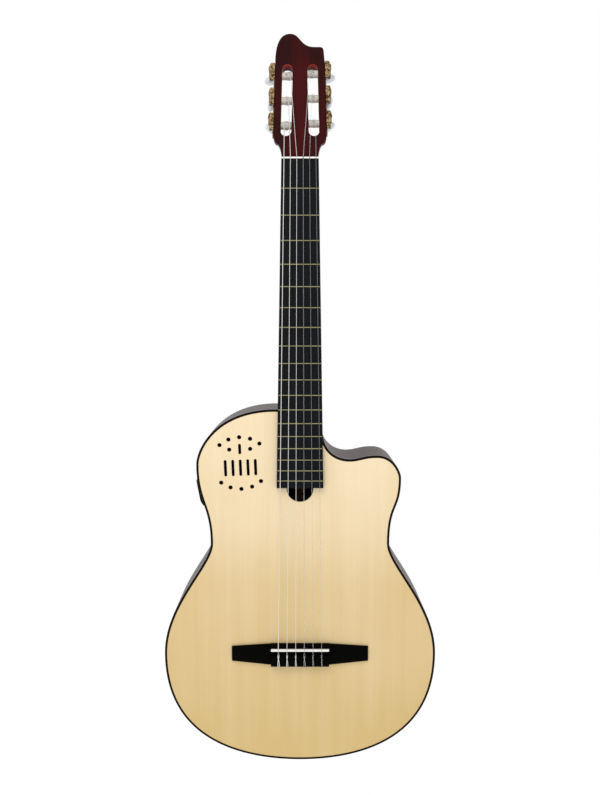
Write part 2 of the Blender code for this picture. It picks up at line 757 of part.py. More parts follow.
def build_fingerboard():
    """The fingerboard with its fret slots, the frets and the nut."""
    ends = [(-NUT_HALF_WIDTH, 0.0), (NUT_HALF_WIDTH, 0.0)]
    ends += [(side * FINGERBOARD_END_HALF_WIDTH, FINGERBOARD_END_Z) for side in (1, -1)]
    board = plate("fingerboard", ends, level(0.0), level(FINGERBOARD_THICKNESS), "ebony")
    slots = []
    tang = TANG_WIDTH / 2
    for number in range(1, FRET_COUNT + 1):
        z = fret_z(number)
        half = board_half_width(z)
        low = (-half - 0.002, -0.001, z - tang - GAP)
        high = (half + 0.002, TANG_DEPTH + GAP, z + tang + GAP)
        slots.append(box(f"fret_slot_tool_{number}", low, high))
        crown = []
        for i in range(6):
            angle = math.pi * i / 5
            crown.append((z + FRET_WIDTH / 2 * math.cos(angle), -GAP - (FRET_HEIGHT - GAP) * math.sin(angle)))
        profile = crown + [(z - tang, -GAP), (z - tang, TANG_DEPTH), (z + tang, TANG_DEPTH), (z + tang, -GAP)]
        rings = [[(x, y, pz) for pz, y in profile] for x in (-half + GAP, half - GAP)]
        skin(f"fret_{number:02d}", rings, "brass", 40)
    cut(board, joined("fret_slot_tools", slots))
    lift = NUT_THICKNESS - GAP
    profile = [(GAP, TOP_Y - GAP), (GAP, NUT_TOP), (GAP + 0.7 * lift, NUT_TOP)]
    profile += [(NUT_THICKNESS, NUT_TOP + NUT_RISE / 2), (NUT_THICKNESS, TOP_Y - GAP)]
    half = NUT_HALF_WIDTH - GAP
    skin("nut", [[(x, y, z) for z, y in profile] for x in (-half, half)], "bone")


def build_bridge():
    """The bridge with its tie block, and the saddle in its slot."""
    base = TOP_Y - GAP
    top = base - BRIDGE_HEIGHT
    gully = base - TIE_GULLY_HEIGHT
    wall = SADDLE_THICKNESS / 2 + GAP + SADDLE_WALL
    profile = [
        (BRIDGE_FRONT, base),
        (BRIDGE_FRONT, base - 0.0035),
        (wall + 0.0018, top),
        (-wall, top),
        (-wall, gully + 0.001),
        (-TIE_BLOCK_START, gully),
        (-TIE_BLOCK_START, top),
        (-BRIDGE_REAR + 0.0015, top),
        (-BRIDGE_REAR, top + 0.0015),
        (-BRIDGE_REAR, base),
    ]
    block = [[(x, y, SADDLE_Z + z) for z, y in profile] for x in (-BRIDGE_BLOCK_HALF, BRIDGE_BLOCK_HALF)]
    bridge = skin("bridge", block, "black_wood")
    for side in (-1, 1):
        inner = side * (BRIDGE_BLOCK_HALF - 0.004)
        outer = side * BRIDGE_HALF_LENGTH
        rings = []
        for x, (high, low), height in ((inner, WING_INNER, 1.0), (outer, WING_OUTER, 0.75)):
            lift = BRIDGE_WING_HEIGHT * height
            mid = (high + low) / 2
            shoulder = base - lift * 0.6
            section = [(high, base), (high, shoulder), (mid, base - lift), (low, shoulder), (low, base)]
            rings.append([(x, y, SADDLE_Z + z) for z, y in section])
        fuse(bridge, skin(f"wing_tool_{side}", rings))
    half = SADDLE_THICKNESS / 2 + GAP
    seat = top + SADDLE_SEAT_DEPTH
    low = (-SADDLE_HALF_LENGTH - GAP, top - 0.002, SADDLE_Z - half)
    high = (SADDLE_HALF_LENGTH + GAP, seat, SADDLE_Z + half)
    cut(bridge, box("saddle_slot_tool", low, high))
    holes = []
    for string in range(1, 7):
        x = saddle_x(string)
        y = base - TIE_HOLE_HEIGHT

        def place(a, b, z, x=x, y=y):
            return (x + a, y + b, z)

        ends = [(TIE_HOLE_RADIUS, SADDLE_Z - BRIDGE_REAR - 0.002)]
        ends.append((TIE_HOLE_RADIUS, SADDLE_Z - TIE_BLOCK_START + 0.002))
        holes.append(lathe(f"tie_hole_tool_{string}", ends, place, 8))
    cut(bridge, joined("tie_hole_tools", holes))
    half = SADDLE_THICKNESS / 2
    crown = [(half, seat - GAP), (half, SADDLE_TOP + 0.0006), (half / 2, SADDLE_TOP)]
    crown += [(-half / 2, SADDLE_TOP), (-half, SADDLE_TOP + 0.0006), (-half, seat - GAP)]
    rings = [[(x, y, SADDLE_Z + z) for z, y in crown] for x in (-SADDLE_HALF_LENGTH, SADDLE_HALF_LENGTH)]
    skin("saddle", rings, "bone")


def nut_x(string):
    """Place of a string across the nut."""
    return (3.5 - string) * NUT_STRING_PITCH


def saddle_x(string):
    """Place of a string across the saddle."""
    return (3.5 - string) * SADDLE_STRING_PITCH


def head_coordinates(point):
    """Along and depth of a point in the head's frame."""
    offset = Vector(point) - HEAD_ORIGIN
    return offset.dot(HEAD_ALONG), offset.dot(HEAD_BACK)


def build_string(string):
    """One string: tied round the tie block, over saddle and nut, and wound round its roller."""
    radius = STRING_RADII[string - 1]
    x = saddle_x(string)
    base = TOP_Y - GAP
    hole = base - TIE_HOLE_HEIGHT
    over = base - BRIDGE_HEIGHT - GAP - radius
    rear = SADDLE_Z - BRIDGE_REAR
    clear = GAP + radius
    front = SADDLE_Z - TIE_BLOCK_START
    route = [
        (x, over, front - 0.002),
        (x, over, rear + 0.0025),
        (x, over + 0.0006, rear - 0.0003),
        (x, over + 0.0022, rear - clear - 0.0006),
        (x, hole - 0.0010, rear - clear - 0.0006),
        (x, hole, rear - 0.0004),
        (x, hole, front + 0.0006),
        (x, SADDLE_TOP + 0.0006 - 0.9 * clear, SADDLE_Z - SADDLE_THICKNESS / 2 - 0.9 * clear),
        (x, SADDLE_TOP - clear, SADDLE_Z - SADDLE_THICKNESS / 3),
        (x, SADDLE_TOP - clear, SADDLE_Z + SADDLE_THICKNESS / 4),
        (nut_x(string), NUT_TOP - clear, GAP),
        (nut_x(string), NUT_TOP - clear, NUT_THICKNESS),
    ]
    side = side_of(string)
    order = string - 1 if string <= 3 else 6 - string
    landing = side * STRING_LANDINGS[order]
    spread = -side if order == 0 else side
    wound = ROLLER_RADIUS + GAP + radius
    centre = (roller_along(string), ROLLER_DEPTH)
    leave = head_coordinates(route[-1])
    away = (leave[0] - centre[0], leave[1] - centre[1])
    distance = math.hypot(*away)
    start = math.atan2(away[1], away[0]) + math.acos(wound / distance)
    pitch = 2 * radius + WINDING_SPACE
    for i in range(WINDING_TURNS * WINDING_STEPS + 1):
        turn = i / WINDING_STEPS
        angle = start + 2 * math.pi * turn
        along = centre[0] + wound * math.cos(angle)
        depth = centre[1] + wound * math.sin(angle)
        route.append(tuple(head_point(landing + spread * pitch * turn, along, depth)))
    print(f"string {string}: least gap between turns {(pitch - 2 * radius) * 1000:.2f} mm")
    curve = bpy.data.curves.new(f"string_{string}", "CURVE")
    curve.dimensions = "3D"
    curve.bevel_depth = radius
    curve.bevel_resolution = 1
    curve.use_fill_caps = True
    spline = curve.splines.new("POLY")
    spline.points.add(len(route) - 1)
    for point, place in zip(spline.points, route):
        point.co = (*place, 1.0)
    add_object(f"string_{string}", curve, "nylon" if string <= 3 else "wound_string")


def build_machine(string):
    """A string's roller with its gear wheel, and its tuning shaft with worm and button."""
    side = side_of(string)
    along = roller_along(string)
    outer = head_half_width(along) - 0.0006
    gear_low = GEAR_OFFSET - GEAR_THICKNESS / 2
    gear_high = GEAR_OFFSET + GEAR_THICKNESS / 2

    def across(a, b, x):
        return head_point(side * x, along + a, ROLLER_DEPTH + b)

    profile = [
        (ROLLER_RADIUS, ROLLER_INNER_END),
        (ROLLER_RADIUS, outer),
        (SPINDLE_RADIUS, outer),
        (SPINDLE_RADIUS, gear_high + 0.0007),
    ]
    roller = lathe(f"roller_{string}", profile, across, 14, "roller")
    tooth = [(GEAR_ROOT_RADIUS, -TOOTH_ROOT_HALF), (GEAR_TIP_RADIUS, -TOOTH_TIP_HALF)]
    tooth += [(GEAR_TIP_RADIUS, TOOTH_TIP_HALF), (GEAR_ROOT_RADIUS, TOOTH_ROOT_HALF)]
    teeth = []
    for i in range(GEAR_TEETH):
        middle = 2 * math.pi * i / GEAR_TEETH
        for radius, half in tooth:
            angle = middle + half / radius
            teeth.append((radius * math.cos(angle), radius * math.sin(angle)))
    gear = [[across(a, b, x) for a, b in teeth] for x in (gear_low, gear_high)]
    fuse(roller, skin(f"gear_tool_{string}", gear))
    move_origin(roller, head_point(side * GEAR_OFFSET, along, ROLLER_DEPTH))

    worm_along = along + WORM_DISTANCE
    worm_half = WORM_TURNS * GEAR_CIRCULAR_PITCH / 2 + 0.0006
    turned = math.radians(BUTTON_ANGLES[string])
    collar = BUTTON_START
    shapes = [
        (ROLLER_DEPTH - worm_half - EAR_THICKNESS - 0.0008, TUNING_SHAFT_RADIUS, TUNING_SHAFT_RADIUS),
        (ROLLER_DEPTH - worm_half, TUNING_SHAFT_RADIUS, TUNING_SHAFT_RADIUS),
        (ROLLER_DEPTH - worm_half, WORM_CORE_RADIUS, WORM_CORE_RADIUS),
        (ROLLER_DEPTH + worm_half, WORM_CORE_RADIUS, WORM_CORE_RADIUS),
        (ROLLER_DEPTH + worm_half, TUNING_SHAFT_RADIUS, TUNING_SHAFT_RADIUS),
        (collar, TUNING_SHAFT_RADIUS, TUNING_SHAFT_RADIUS),
        (collar, 0.0024, 0.0022),
        (collar + 0.30 * BUTTON_LENGTH, 0.86 * BUTTON_HALF_WIDTH, 0.85 * BUTTON_HALF_THICKNESS),
        (collar + 0.55 * BUTTON_LENGTH, BUTTON_HALF_WIDTH, BUTTON_HALF_THICKNESS),
        (collar + 0.80 * BUTTON_LENGTH, 0.82 * BUTTON_HALF_WIDTH, 0.86 * BUTTON_HALF_THICKNESS),
        (collar + 0.95 * BUTTON_LENGTH, 0.48 * BUTTON_HALF_WIDTH, 0.55 * BUTTON_HALF_THICKNESS),
        (collar + BUTTON_LENGTH, 0.15 * BUTTON_HALF_WIDTH, 0.20 * BUTTON_HALF_THICKNESS),
    ]
    rings = []
    for depth, wide, thick in shapes:
        ring = []
        for i in range(10):
            angle = 2 * math.pi * i / 10
            a = wide * math.cos(angle)
            b = thick * math.sin(angle)
            x = side * GEAR_OFFSET + a * math.cos(turned) - b * math.sin(turned)
            ring.append(head_point(x, worm_along + a * math.sin(turned) + b * math.cos(turned), depth))
        rings.append(ring)
    shaft = skin(f"tuning_shaft_{string}", rings, "pearl", 50)
    fuse(shaft, worm_thread(f"worm_tool_{string}", side * GEAR_OFFSET, worm_along))
    move_origin(shaft, head_point(side * GEAR_OFFSET, worm_along, ROLLER_DEPTH))


def worm_thread(name, x, along):
    """A right-handed thread round the worm, with its crests between the gear's teeth at rest."""
    steps = 8
    rings = []
    count = WORM_TURNS * steps
    root = WORM_CORE_RADIUS - GAP
    section = ((root, -THREAD_ROOT_HALF), (WORM_CREST_RADIUS, 0.0), (root, THREAD_ROOT_HALF))
    for i in range(count + 1):
        angle = 2 * math.pi * i / steps
        middle = GEAR_CIRCULAR_PITCH * (i / steps - WORM_TURNS / 2)
        radial = Vector((-math.sin(angle), 0.0, 0.0)) - HEAD_ALONG * math.cos(angle)
        ring = []
        for radius, half in section:
            ring.append(head_point(x, along, ROLLER_DEPTH + middle + half) + radial * radius)
        rings.append(ring)
    return skin(name, rings)


def build_machine_plate(name, strings):
    """The plate that carries three tuning machines: a wavy-edged strip with a pair of ears for each."""
    side = side_of(strings[0])
    first = roller_along(strings[0])
    low = first - PLATE_OVERHANG
    high = first + 2 * ROLLER_SPACING + PLATE_OVERHANG
    steps = 18
    front = []
    rear = []
    for i in range(steps + 1):
        along = low + (high - low) * i / steps
        wave = PLATE_WAVE * math.cos(2 * math.pi * (along - first) / ROLLER_SPACING)
        ends = min(1.0, 0.55 + 0.45 * min(i, steps - i) / 2)
        half = (PLATE_HALF_HEIGHT + wave) * ends
        front.append((along, ROLLER_DEPTH + 0.0015 - half))
        rear.append((along, ROLLER_DEPTH + 0.0015 + half))
    outline = front + rear[::-1]

    def faces_at(offset):
        """The plate's outline at a distance off the side of the head."""
        places = [(side * (head_half_width(along) + offset), along, depth) for along, depth in outline]
        return [head_point(*place) for place in places]

    plate_object = skin(name, [faces_at(GAP), faces_at(GAP + PLATE_THICKNESS)], "brass")
    worm_half = WORM_TURNS * GEAR_CIRCULAR_PITCH / 2 + 0.0006
    holes = []
    for string in strings:
        along = roller_along(string)
        worm_along = along + WORM_DISTANCE
        root = head_half_width(worm_along) + GAP + PLATE_THICKNESS / 2
        tip = GEAR_OFFSET + EAR_HALF
        for end in (-1, 1):
            near = ROLLER_DEPTH + end * (worm_half + GAP)
            far = ROLLER_DEPTH + end * (worm_half + GAP + EAR_THICKNESS)
            rings = []
            for depth in (near, far):
                corners = ((root, -EAR_HALF), (tip, -EAR_HALF), (tip, EAR_HALF), (root, EAR_RISE))
                rings.append([head_point(side * x, worm_along + a, depth) for x, a in corners])
            fuse(plate_object, skin(f"ear_tool_{string}_{end}", rings))

        def lengthwise(a, b, depth, worm_along=worm_along):
            return head_point(side * GEAR_OFFSET + a, worm_along + b, depth)

        def across(a, b, x, along=along):
            return head_point(side * x, along + a, ROLLER_DEPTH + b)

        reach = worm_half + EAR_THICKNESS + 0.003
        bore = TUNING_SHAFT_RADIUS + SHAFT_CLEARANCE
        ends = [(bore, ROLLER_DEPTH - reach), (bore, ROLLER_DEPTH + reach)]
        holes.append(lathe(f"ear_hole_tool_{string}", ends, lengthwise, 10))
        bore = SPINDLE_RADIUS + SHAFT_CLEARANCE
        wall = head_half_width(along)
        ends = [(bore, wall - 0.002), (bore, wall + 0.004)]
        holes.append(lathe(f"spindle_hole_tool_{string}", ends, across, 10))
    cut(plate_object, joined(f"{name}_hole_tools", holes))


def panel_frame(edge):
    """Centre of the control panel, its directions along and out of the rib, and the rib's shape there.

    The first three are (x, z) vectors, the last a list of (along, outward) places.
    """
    centre_z = JOINT_Z - PANEL_DROP
    bass = [p for p in edge[0] if p[0] < 0 and JOINT_Z - WAIST_DROP < p[1] < JOINT_Z - UPPER_BOUT_DROP / 2]
    bass.sort(key=lambda p: -p[1])
    heights = [-p[1] for p in bass]
    across = [p[0] for p in bass]
    ends = [np.array((np.interp(-z, heights, across), z)) for z in
            (centre_z + PANEL_LENGTH / 2, centre_z - PANEL_LENGTH / 2)]
    along = (ends[1] - ends[0]) / np.linalg.norm(ends[1] - ends[0])
    outward = np.array((along[1], -along[0]))
    centre = (ends[0] + ends[1]) / 2
    rib = sorted((float((p - centre) @ along), float((p - centre) @ outward)) for p in bass)
    return centre, along, outward, rib


def build_controls(edge, side_bass):
    """The control unit: housing with panel, battery tray, volume knob and two tone sliders."""
    centre, along, outward, rib = panel_frame(edge)
    middle_y = TOP_Y + PANEL_CENTRE_DEPTH

    def spot(a, b, out):
        """A point a along the rib, b to the back of the panel's middle and out from the rib."""
        p = centre + along * a + outward * (out + PANEL_STANDOFF)
        return Vector((p[0], middle_y + b, p[1]))

    def slab(name, a, b, out, kind=None):
        """A box with ranges along the rib, to the back and outwards."""
        corners = ((a[0], b[0]), (a[1], b[0]), (a[1], b[1]), (a[0], b[1]))
        return skin(name, [[spot(p, q, level_out) for p, q in corners] for level_out in out], kind)

    half_a = PANEL_LENGTH / 2
    half_b = PANEL_WIDTH / 2
    trim = PANEL_CHAMFER
    corner = [(half_a - trim, half_b), (half_a, half_b - trim)]
    outline = []
    for sign_a, sign_b in ((1, -1), (1, 1), (-1, 1), (-1, -1)):
        points = [(sign_a * a, sign_b * b) for a, b in corner]
        outline += points if sign_a * sign_b < 0 else points[::-1]
    face = PANEL_THICKNESS
    rib_along = [a for a, out in rib]
    rib_out = [out for a, out in rib]
    under = [-half_a] + [a for a in rib_along if abs(a) < half_a] + [half_a]
    profile = [(a, float(np.interp(a, rib_along, rib_out)) + GAP - PANEL_STANDOFF) for a in under]
    profile += [(half_a, face), (-half_a, face)]
    rings = [[spot(a, b, out) for a, out in profile] for b in (-half_b, half_b)]
    housing = skin("control_housing", rings, "black_plastic")
    trimmed = skin("panel_outline_tool", [[spot(a, b, out) for a, b in outline] for out in (-0.02, 0.02)])
    combine(housing, trimmed, "INTERSECT")
    in_a = half_a - PANEL_FLANGE
    in_b = half_b - PANEL_FLANGE
    sink = face / 2
    fuse(housing, slab("housing_tool", (-in_a, in_a), (-in_b, in_b), (-HOUSING_DEPTH, sink)))
    tray_a = TRAY_LENGTH / 2
    tray_b = TRAY_WIDTH / 2
    sleeve_a = (-tray_a - TRAY_WALL, tray_a + TRAY_WALL)
    sleeve_b = (TRAY_OFFSET - tray_b - TRAY_WALL, TRAY_OFFSET + tray_b + TRAY_WALL)
    fuse(housing, slab("sleeve_tool", (-in_a + GAP, in_a - GAP), sleeve_b, (-TRAY_DEPTH - TRAY_WALL, sink / 2)))
    well_a = (-tray_a, tray_a)
    well_b = (TRAY_OFFSET - tray_b, TRAY_OFFSET + tray_b)
    cut(housing, slab("tray_well_tool", well_a, well_b, (-TRAY_DEPTH, face + 0.001)))
    tray_low = (-tray_a + GAP, tray_a - GAP)
    tray_across = (TRAY_OFFSET - tray_b + GAP, TRAY_OFFSET + tray_b - GAP)
    tray = slab("battery_tray", tray_low, tray_across, (-TRAY_DEPTH + GAP, face), "black_plastic")
    scoop_a = (-tray_a + 0.003, tray_a - 0.003)
    scoop_b = (TRAY_OFFSET - tray_b + 0.0015, TRAY_OFFSET + tray_b + 0.001)
    cut(tray, slab("tray_scoop_tool", scoop_a, scoop_b, (-TRAY_DEPTH + 0.002, -0.001)))
    notch_a = (-TRAY_NOTCH[0] / 2, TRAY_NOTCH[0] / 2)
    notch_end = TRAY_OFFSET + tray_b - TRAY_NOTCH_INSET
    notch_b = (notch_end - TRAY_NOTCH[1], notch_end)
    cut(tray, slab("tray_notch_tool", notch_a, notch_b, (face - TRAY_NOTCH[2], face + 0.001)))
    move_origin(tray, spot(0.0, TRAY_OFFSET, 0.0))

    stem = KNOB_STEM_RADIUS

    def knob_place(a, b, out):
        return spot(a, KNOB_OFFSET + b, out)

    pocket = [(stem + SHAFT_CLEARANCE, face - CONTROL_POCKET_DEPTH), (stem + SHAFT_CLEARANCE, face + 0.001)]
    cut(housing, lathe("knob_pocket_tool", pocket, knob_place, 12))
    base = face + GAP
    knob_profile = [
        (stem, face - CONTROL_POCKET_DEPTH + GAP),
        (stem, base),
        (KNOB_RADIUS, base),
        (KNOB_RADIUS * 0.9, base + KNOB_HEIGHT * 0.85),
        (KNOB_RADIUS * 0.75, base + KNOB_HEIGHT),
    ]
    knob = lathe("volume_knob", knob_profile, knob_place, 18, "black_plastic", 35)
    ridge_b = (KNOB_OFFSET - 0.0005, KNOB_OFFSET + 0.0005)
    ridge_out = (base + KNOB_HEIGHT * 0.8, base + KNOB_HEIGHT + 0.0006)
    fuse(knob, slab("knob_pointer_tool", (-KNOB_RADIUS * 0.7, 0.0), ridge_b, ridge_out))
    move_origin(knob, spot(0.0, KNOB_OFFSET, base))

    for name, offset in SLIDER_OFFSETS.items():
        stem_a = SLIDER_STEM[1] / 2
        stem_b = SLIDER_STEM[0] / 2
        reach = SLIDER_TRAVEL + stem_a + SHAFT_CLEARANCE
        lane = stem_b + SHAFT_CLEARANCE
        lane_out = (face - CONTROL_POCKET_DEPTH, face + 0.001)
        cut(housing, slab(f"{name}_lane_tool", (-reach, reach), (offset - lane, offset + lane), lane_out))
        cap_b = SLIDER_CAP[0] / 2
        cap_a = SLIDER_CAP[1] / 2
        cap_out = (base, base + SLIDER_CAP[2])
        cap = slab(name, (-cap_a, cap_a), (offset - cap_b, offset + cap_b), cap_out, "grey_plastic")
        stem_out = (face - CONTROL_POCKET_DEPTH + GAP, base + SLIDER_CAP[2] / 2)
        fuse(cap, slab(f"{name}_stem_tool", (-stem_a, stem_a), (offset - stem_b, offset + stem_b), stem_out))
        move_origin(cap, spot(0.0, offset, base))

    window_a = (-in_a - GAP, in_a + GAP)
    window_b = (-in_b - GAP, in_b + GAP)
    cut(side_bass, slab("panel_window_tool", window_a, window_b, (-0.008, 0.004)))


def build_jack(side_bass, side_treble, tail_block):
    """The end pin with its output socket, through the ribs and the tail block."""
    y = TOP_Y + JACK_DEPTH

    def place(a, b, down):
        return (a, y + b, TAIL_Z - down)

    bore = JACK_RADIUS + GAP
    ends = [(bore, -JACK_INSIDE_LENGTH - 0.002), (bore, 0.004)]
    tool = lathe("jack_hole_tool", ends, place, 20)
    for target in (side_bass, side_treble, tail_block):
        cut(target, tool)
    profile = [(JACK_RADIUS, -JACK_INSIDE_LENGTH), (JACK_RADIUS, GAP)]
    profile += [(radius, GAP + down) for radius, down in zip(JACK_RADII, JACK_STEPS)]
    mouth = JACK_STEPS[-1] + GAP
    profile += [(SOCKET_RADIUS, mouth), (SOCKET_RADIUS, mouth - SOCKET_DEPTH)]
    lathe("end_pin_jack", profile, place, 20, "chrome", 35)


def strut(name, start, end, half, depths):
    """A straight strut between two (x, z) points, with its half width and two depth functions."""
    start = np.array(start)
    end = np.array(end)
    run = (end - start) / np.linalg.norm(end - start)
    aside = np.array((-run[1], run[0])) * half
    corners = [start - aside, end - aside, end + aside, start + aside]
    return plate(name, corners, *depths)


def bar_half_length(edge, z):
    """Half length of a bar at a height, so that both ends stop short of the linings."""
    inner = inset(edge, RIB_THICKNESS + GAP + LINING_WIDTH + BAR_END_SPACE)
    crossings = []
    for level_z in (z - BRACE_HALF_WIDTH, z + BRACE_HALF_WIDTH):
        for p, q in zip(inner[:-1], inner[1:]):
            if (p[1] - level_z) * (q[1] - level_z) < 0:
                crossings.append(abs(p[0] + (q[0] - p[0]) * (level_z - p[1]) / (q[1] - p[1])))
    return min(crossings)


def build_bracing(edge):
    """The soundboard's bar, rails and fan struts in one glued grid, and the back's ladder of bars."""
    front = TOP_Y + SOUNDBOARD_THICKNESS + GAP
    tall = (level(front), level(front + BRACE_HEIGHT))
    low = (level(front), level(front + FAN_HEIGHT))
    bar_z = JOINT_Z - MAIN_BAR_DROP
    reach = bar_half_length(edge, bar_z)
    ends = [(-reach, bar_z + BRACE_HALF_WIDTH), (reach, bar_z + BRACE_HALF_WIDTH)]
    ends += [(reach, bar_z - BRACE_HALF_WIDTH), (-reach, bar_z - BRACE_HALF_WIDTH)]
    grid = plate("top_bracing", ends, *tall, "cedar")
    for side in (-1, 1):
        start = (side * RAIL_X, JOINT_Z - RAIL_TOP_DROP)
        fuse(grid, strut(f"rail_tool_{side}", start, (side * RAIL_X, bar_z), FAN_HALF_WIDTH, low))
    for i in range(FAN_COUNT):
        place = i - (FAN_COUNT - 1) / 2
        start = (place * FAN_TOP_PITCH, bar_z)
        end = (place * FAN_FOOT_PITCH, TAIL_Z + FAN_FOOT_RISE)
        fuse(grid, strut(f"fan_tool_{i}", start, end, FAN_HALF_WIDTH, low))
    inner = BACK_THICKNESS + GAP
    top_z = JOINT_Z - BACK_STRIP_DROP
    end_z = TAIL_Z + BACK_STRIP_RISE
    thin = (off_back(inner + BACK_STRIP_THICKNESS), off_back(inner))
    ladder = [(-BACK_STRIP_HALF, top_z), (BACK_STRIP_HALF, top_z), (BACK_STRIP_HALF, end_z), (-BACK_STRIP_HALF, end_z)]
    back = plate("back_bracing", ladder, *thin, "cedar")
    deep = (off_back(inner + BRACE_HEIGHT), off_back(inner + GAP / 3))
    heights = [JOINT_Z - drop for drop in BACK_BAR_DROPS] + [TAIL_Z + rise for rise in BACK_BAR_RISES]
    for i, z in enumerate(heights):
        half = bar_half_length(edge, z)
        fuse(back, strut(f"back_bar_tool_{i}", (-half, z), (half, z), BRACE_HALF_WIDTH, deep))


def main():
    """Build every piece of the guitar."""
    clear_scene()
    edge = body_edge()
    side_bass, side_treble, tail_block = build_body(edge)
    build_bracing(edge)
    build_neck()
    build_fingerboard()
    build_bridge()
    for string in range(1, 7):
        build_string(string)
        build_machine(string)
    build_machine_plate("machine_plate_treble", (1, 2, 3))
    build_machine_plate("machine_plate_bass", (6, 5, 4))
    build_controls(edge, side_bass)
    build_jack(side_bass, side_treble, tail_block)


main()
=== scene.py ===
"""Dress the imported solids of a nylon-string guitar with fine surfaces and finishes.

Laid out as a Blender add-on and run as a script. Lengths are in metres, in the frame of the solids:
X points to the treble side, Y to the back and Z up, towards the head.
"""
import json
import math
from collections import namedtuple

import bpy
import numpy as np
from bpy.props import FloatProperty, FloatVectorProperty, PointerProperty
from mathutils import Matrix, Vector


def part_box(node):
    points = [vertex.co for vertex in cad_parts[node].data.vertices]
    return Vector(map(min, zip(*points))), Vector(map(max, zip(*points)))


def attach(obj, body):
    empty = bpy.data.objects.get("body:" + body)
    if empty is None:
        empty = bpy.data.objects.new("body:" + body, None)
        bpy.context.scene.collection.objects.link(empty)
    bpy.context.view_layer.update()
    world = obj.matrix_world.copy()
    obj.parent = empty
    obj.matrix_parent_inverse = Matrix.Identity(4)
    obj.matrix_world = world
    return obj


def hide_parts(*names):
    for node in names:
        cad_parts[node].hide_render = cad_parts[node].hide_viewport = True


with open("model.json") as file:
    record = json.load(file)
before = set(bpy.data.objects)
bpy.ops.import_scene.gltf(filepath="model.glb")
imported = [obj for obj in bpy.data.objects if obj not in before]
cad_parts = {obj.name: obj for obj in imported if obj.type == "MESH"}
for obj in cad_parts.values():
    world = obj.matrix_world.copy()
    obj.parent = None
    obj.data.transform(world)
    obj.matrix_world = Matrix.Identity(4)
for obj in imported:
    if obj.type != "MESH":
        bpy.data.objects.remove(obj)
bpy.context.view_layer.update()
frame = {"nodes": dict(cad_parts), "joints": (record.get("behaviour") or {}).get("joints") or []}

bl_info = {
    "name": "Nylon-String Guitar",
    "version": (1, 0, 0),
    "blender": (4, 5, 0),
    "location": "View3D > Sidebar > Guitar",
    "description": "Builds the fine surfaces and finishes of a cutaway guitar around its solids",
    "category": "Object",
}

# Clearance and scale
GAP = 0.0003
SCALE_LENGTH = 0.650
FRET_COUNT = 18
TOP_Y = 0.0070
JOINT_Z = -SCALE_LENGTH / 2
TAIL_Z = -0.8105
BODY_LENGTH = JOINT_Z - TAIL_Z
DEPTH_AT_JOINT = 0.092
DEPTH_AT_TAIL = 0.100
RIB = 0.0024
BINDING = 0.0050
BINDING_FACE = 0.0030
SOUNDBOARD = 0.0027
BACK = 0.0030

# Neck and head
SHAFT_DEPTH = 0.0140
SHAFT_GAIN = 0.0030
SHAFT_END_HALF = 0.0313
SQUARE_RUN = 0.0240
HEEL_LENGTH = 0.0700
HEEL_REACH = 0.1530
HEAD_ANGLE = math.radians(14.0)
HEAD_START = Vector((0.0, 0.0032, 0.0038))
HEAD_ALONG = Vector((0.0, math.sin(HEAD_ANGLE), math.cos(HEAD_ANGLE)))
HEAD_BACK = Vector((0.0, math.cos(HEAD_ANGLE), -math.sin(HEAD_ANGLE)))
HEAD_THICKNESS = 0.0180
SLOT_EASE = 0.0009
HEAD_SHOULDER = 0.0330
HEAD_SHOULDER_HALF = 0.0348
SHOULDER_LIFT = (0.0033, 0.0085)
HEAD_SIDE_END = 0.1330
HEAD_SIDE_END_HALF = 0.0328
NUT_HALF = 0.0243

# Tuning machines
ROLLER_RADIUS = 0.0050
GEAR_TEETH = 14
GEAR_PITCH = 2 * math.pi * 0.0054 / GEAR_TEETH
WORM_TURNS = 3
WORM_HALF = WORM_TURNS * GEAR_PITCH / 2 + 0.0006
PLATE = 0.0010
BUTTON_TURNS = (35.0, 75.0, 15.0, 5.0, 80.0, -40.0)

# Bridge and strings
SADDLE_Z = -SCALE_LENGTH - 0.0015
BRIDGE_BASE = TOP_Y - GAP
BRIDGE_TOP = BRIDGE_BASE - 0.0085
SADDLE_TOP = -0.0050
BLOCK_FRONT = -0.0085
BLOCK_REAR = -0.0240
TIE_HOLE = BRIDGE_BASE - 0.0048
NUT_TOP = -0.0012
NUT_REBATE = 0.0011
STEP_AT_NUT = 0.00825
STEP_AT_BRIDGE = 0.01173
STRING_RADII = (0.00036, 0.00041, 0.00051, 0.00037, 0.00045, 0.00055)

# Control panel
PANEL_FACE = 0.0016
TRAY_BACK = -0.0200
KNOB_ROW = 0.0240
SLIDER_ROWS = {"bass_slider": 0.0110, "treble_slider": 0.0020}


def joint(name):
    """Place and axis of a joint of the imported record."""
    found = next(j for j in frame["joints"] if j["name"] == name)
    return Vector(found["pos_m"]), Vector(found["axis"])


# Node tree tools


class Value:
    """A socket of a node tree. An expression on values adds the Math nodes that work it out."""

    def __init__(self, graph, socket):
        self.graph = graph
        self.socket = socket

    def math(self, operation, other=0.0, swapped=False):
        """One Math node on this value and another one; swapped puts the other first."""
        pair = {0: other, 1: self} if swapped else {0: self, 1: other}
        return self.graph.node("ShaderNodeMath", pair, operation=operation)

    def __add__(self, other):
        return self.math("ADD", other)

    def __radd__(self, other):
        return self.math("ADD", other, True)

    def __sub__(self, other):
        return self.math("SUBTRACT", other)

    def __rsub__(self, other):
        return self.math("SUBTRACT", other, True)

    def __mul__(self, other):
        return self.math("MULTIPLY", other)

    def __rmul__(self, other):
        return self.math("MULTIPLY", other, True)

    def __truediv__(self, other):
        return self.math("DIVIDE", other)

    def __rtruediv__(self, other):
        return self.math("DIVIDE", other, True)

    def __pow__(self, other):
        return self.math("POWER", other)


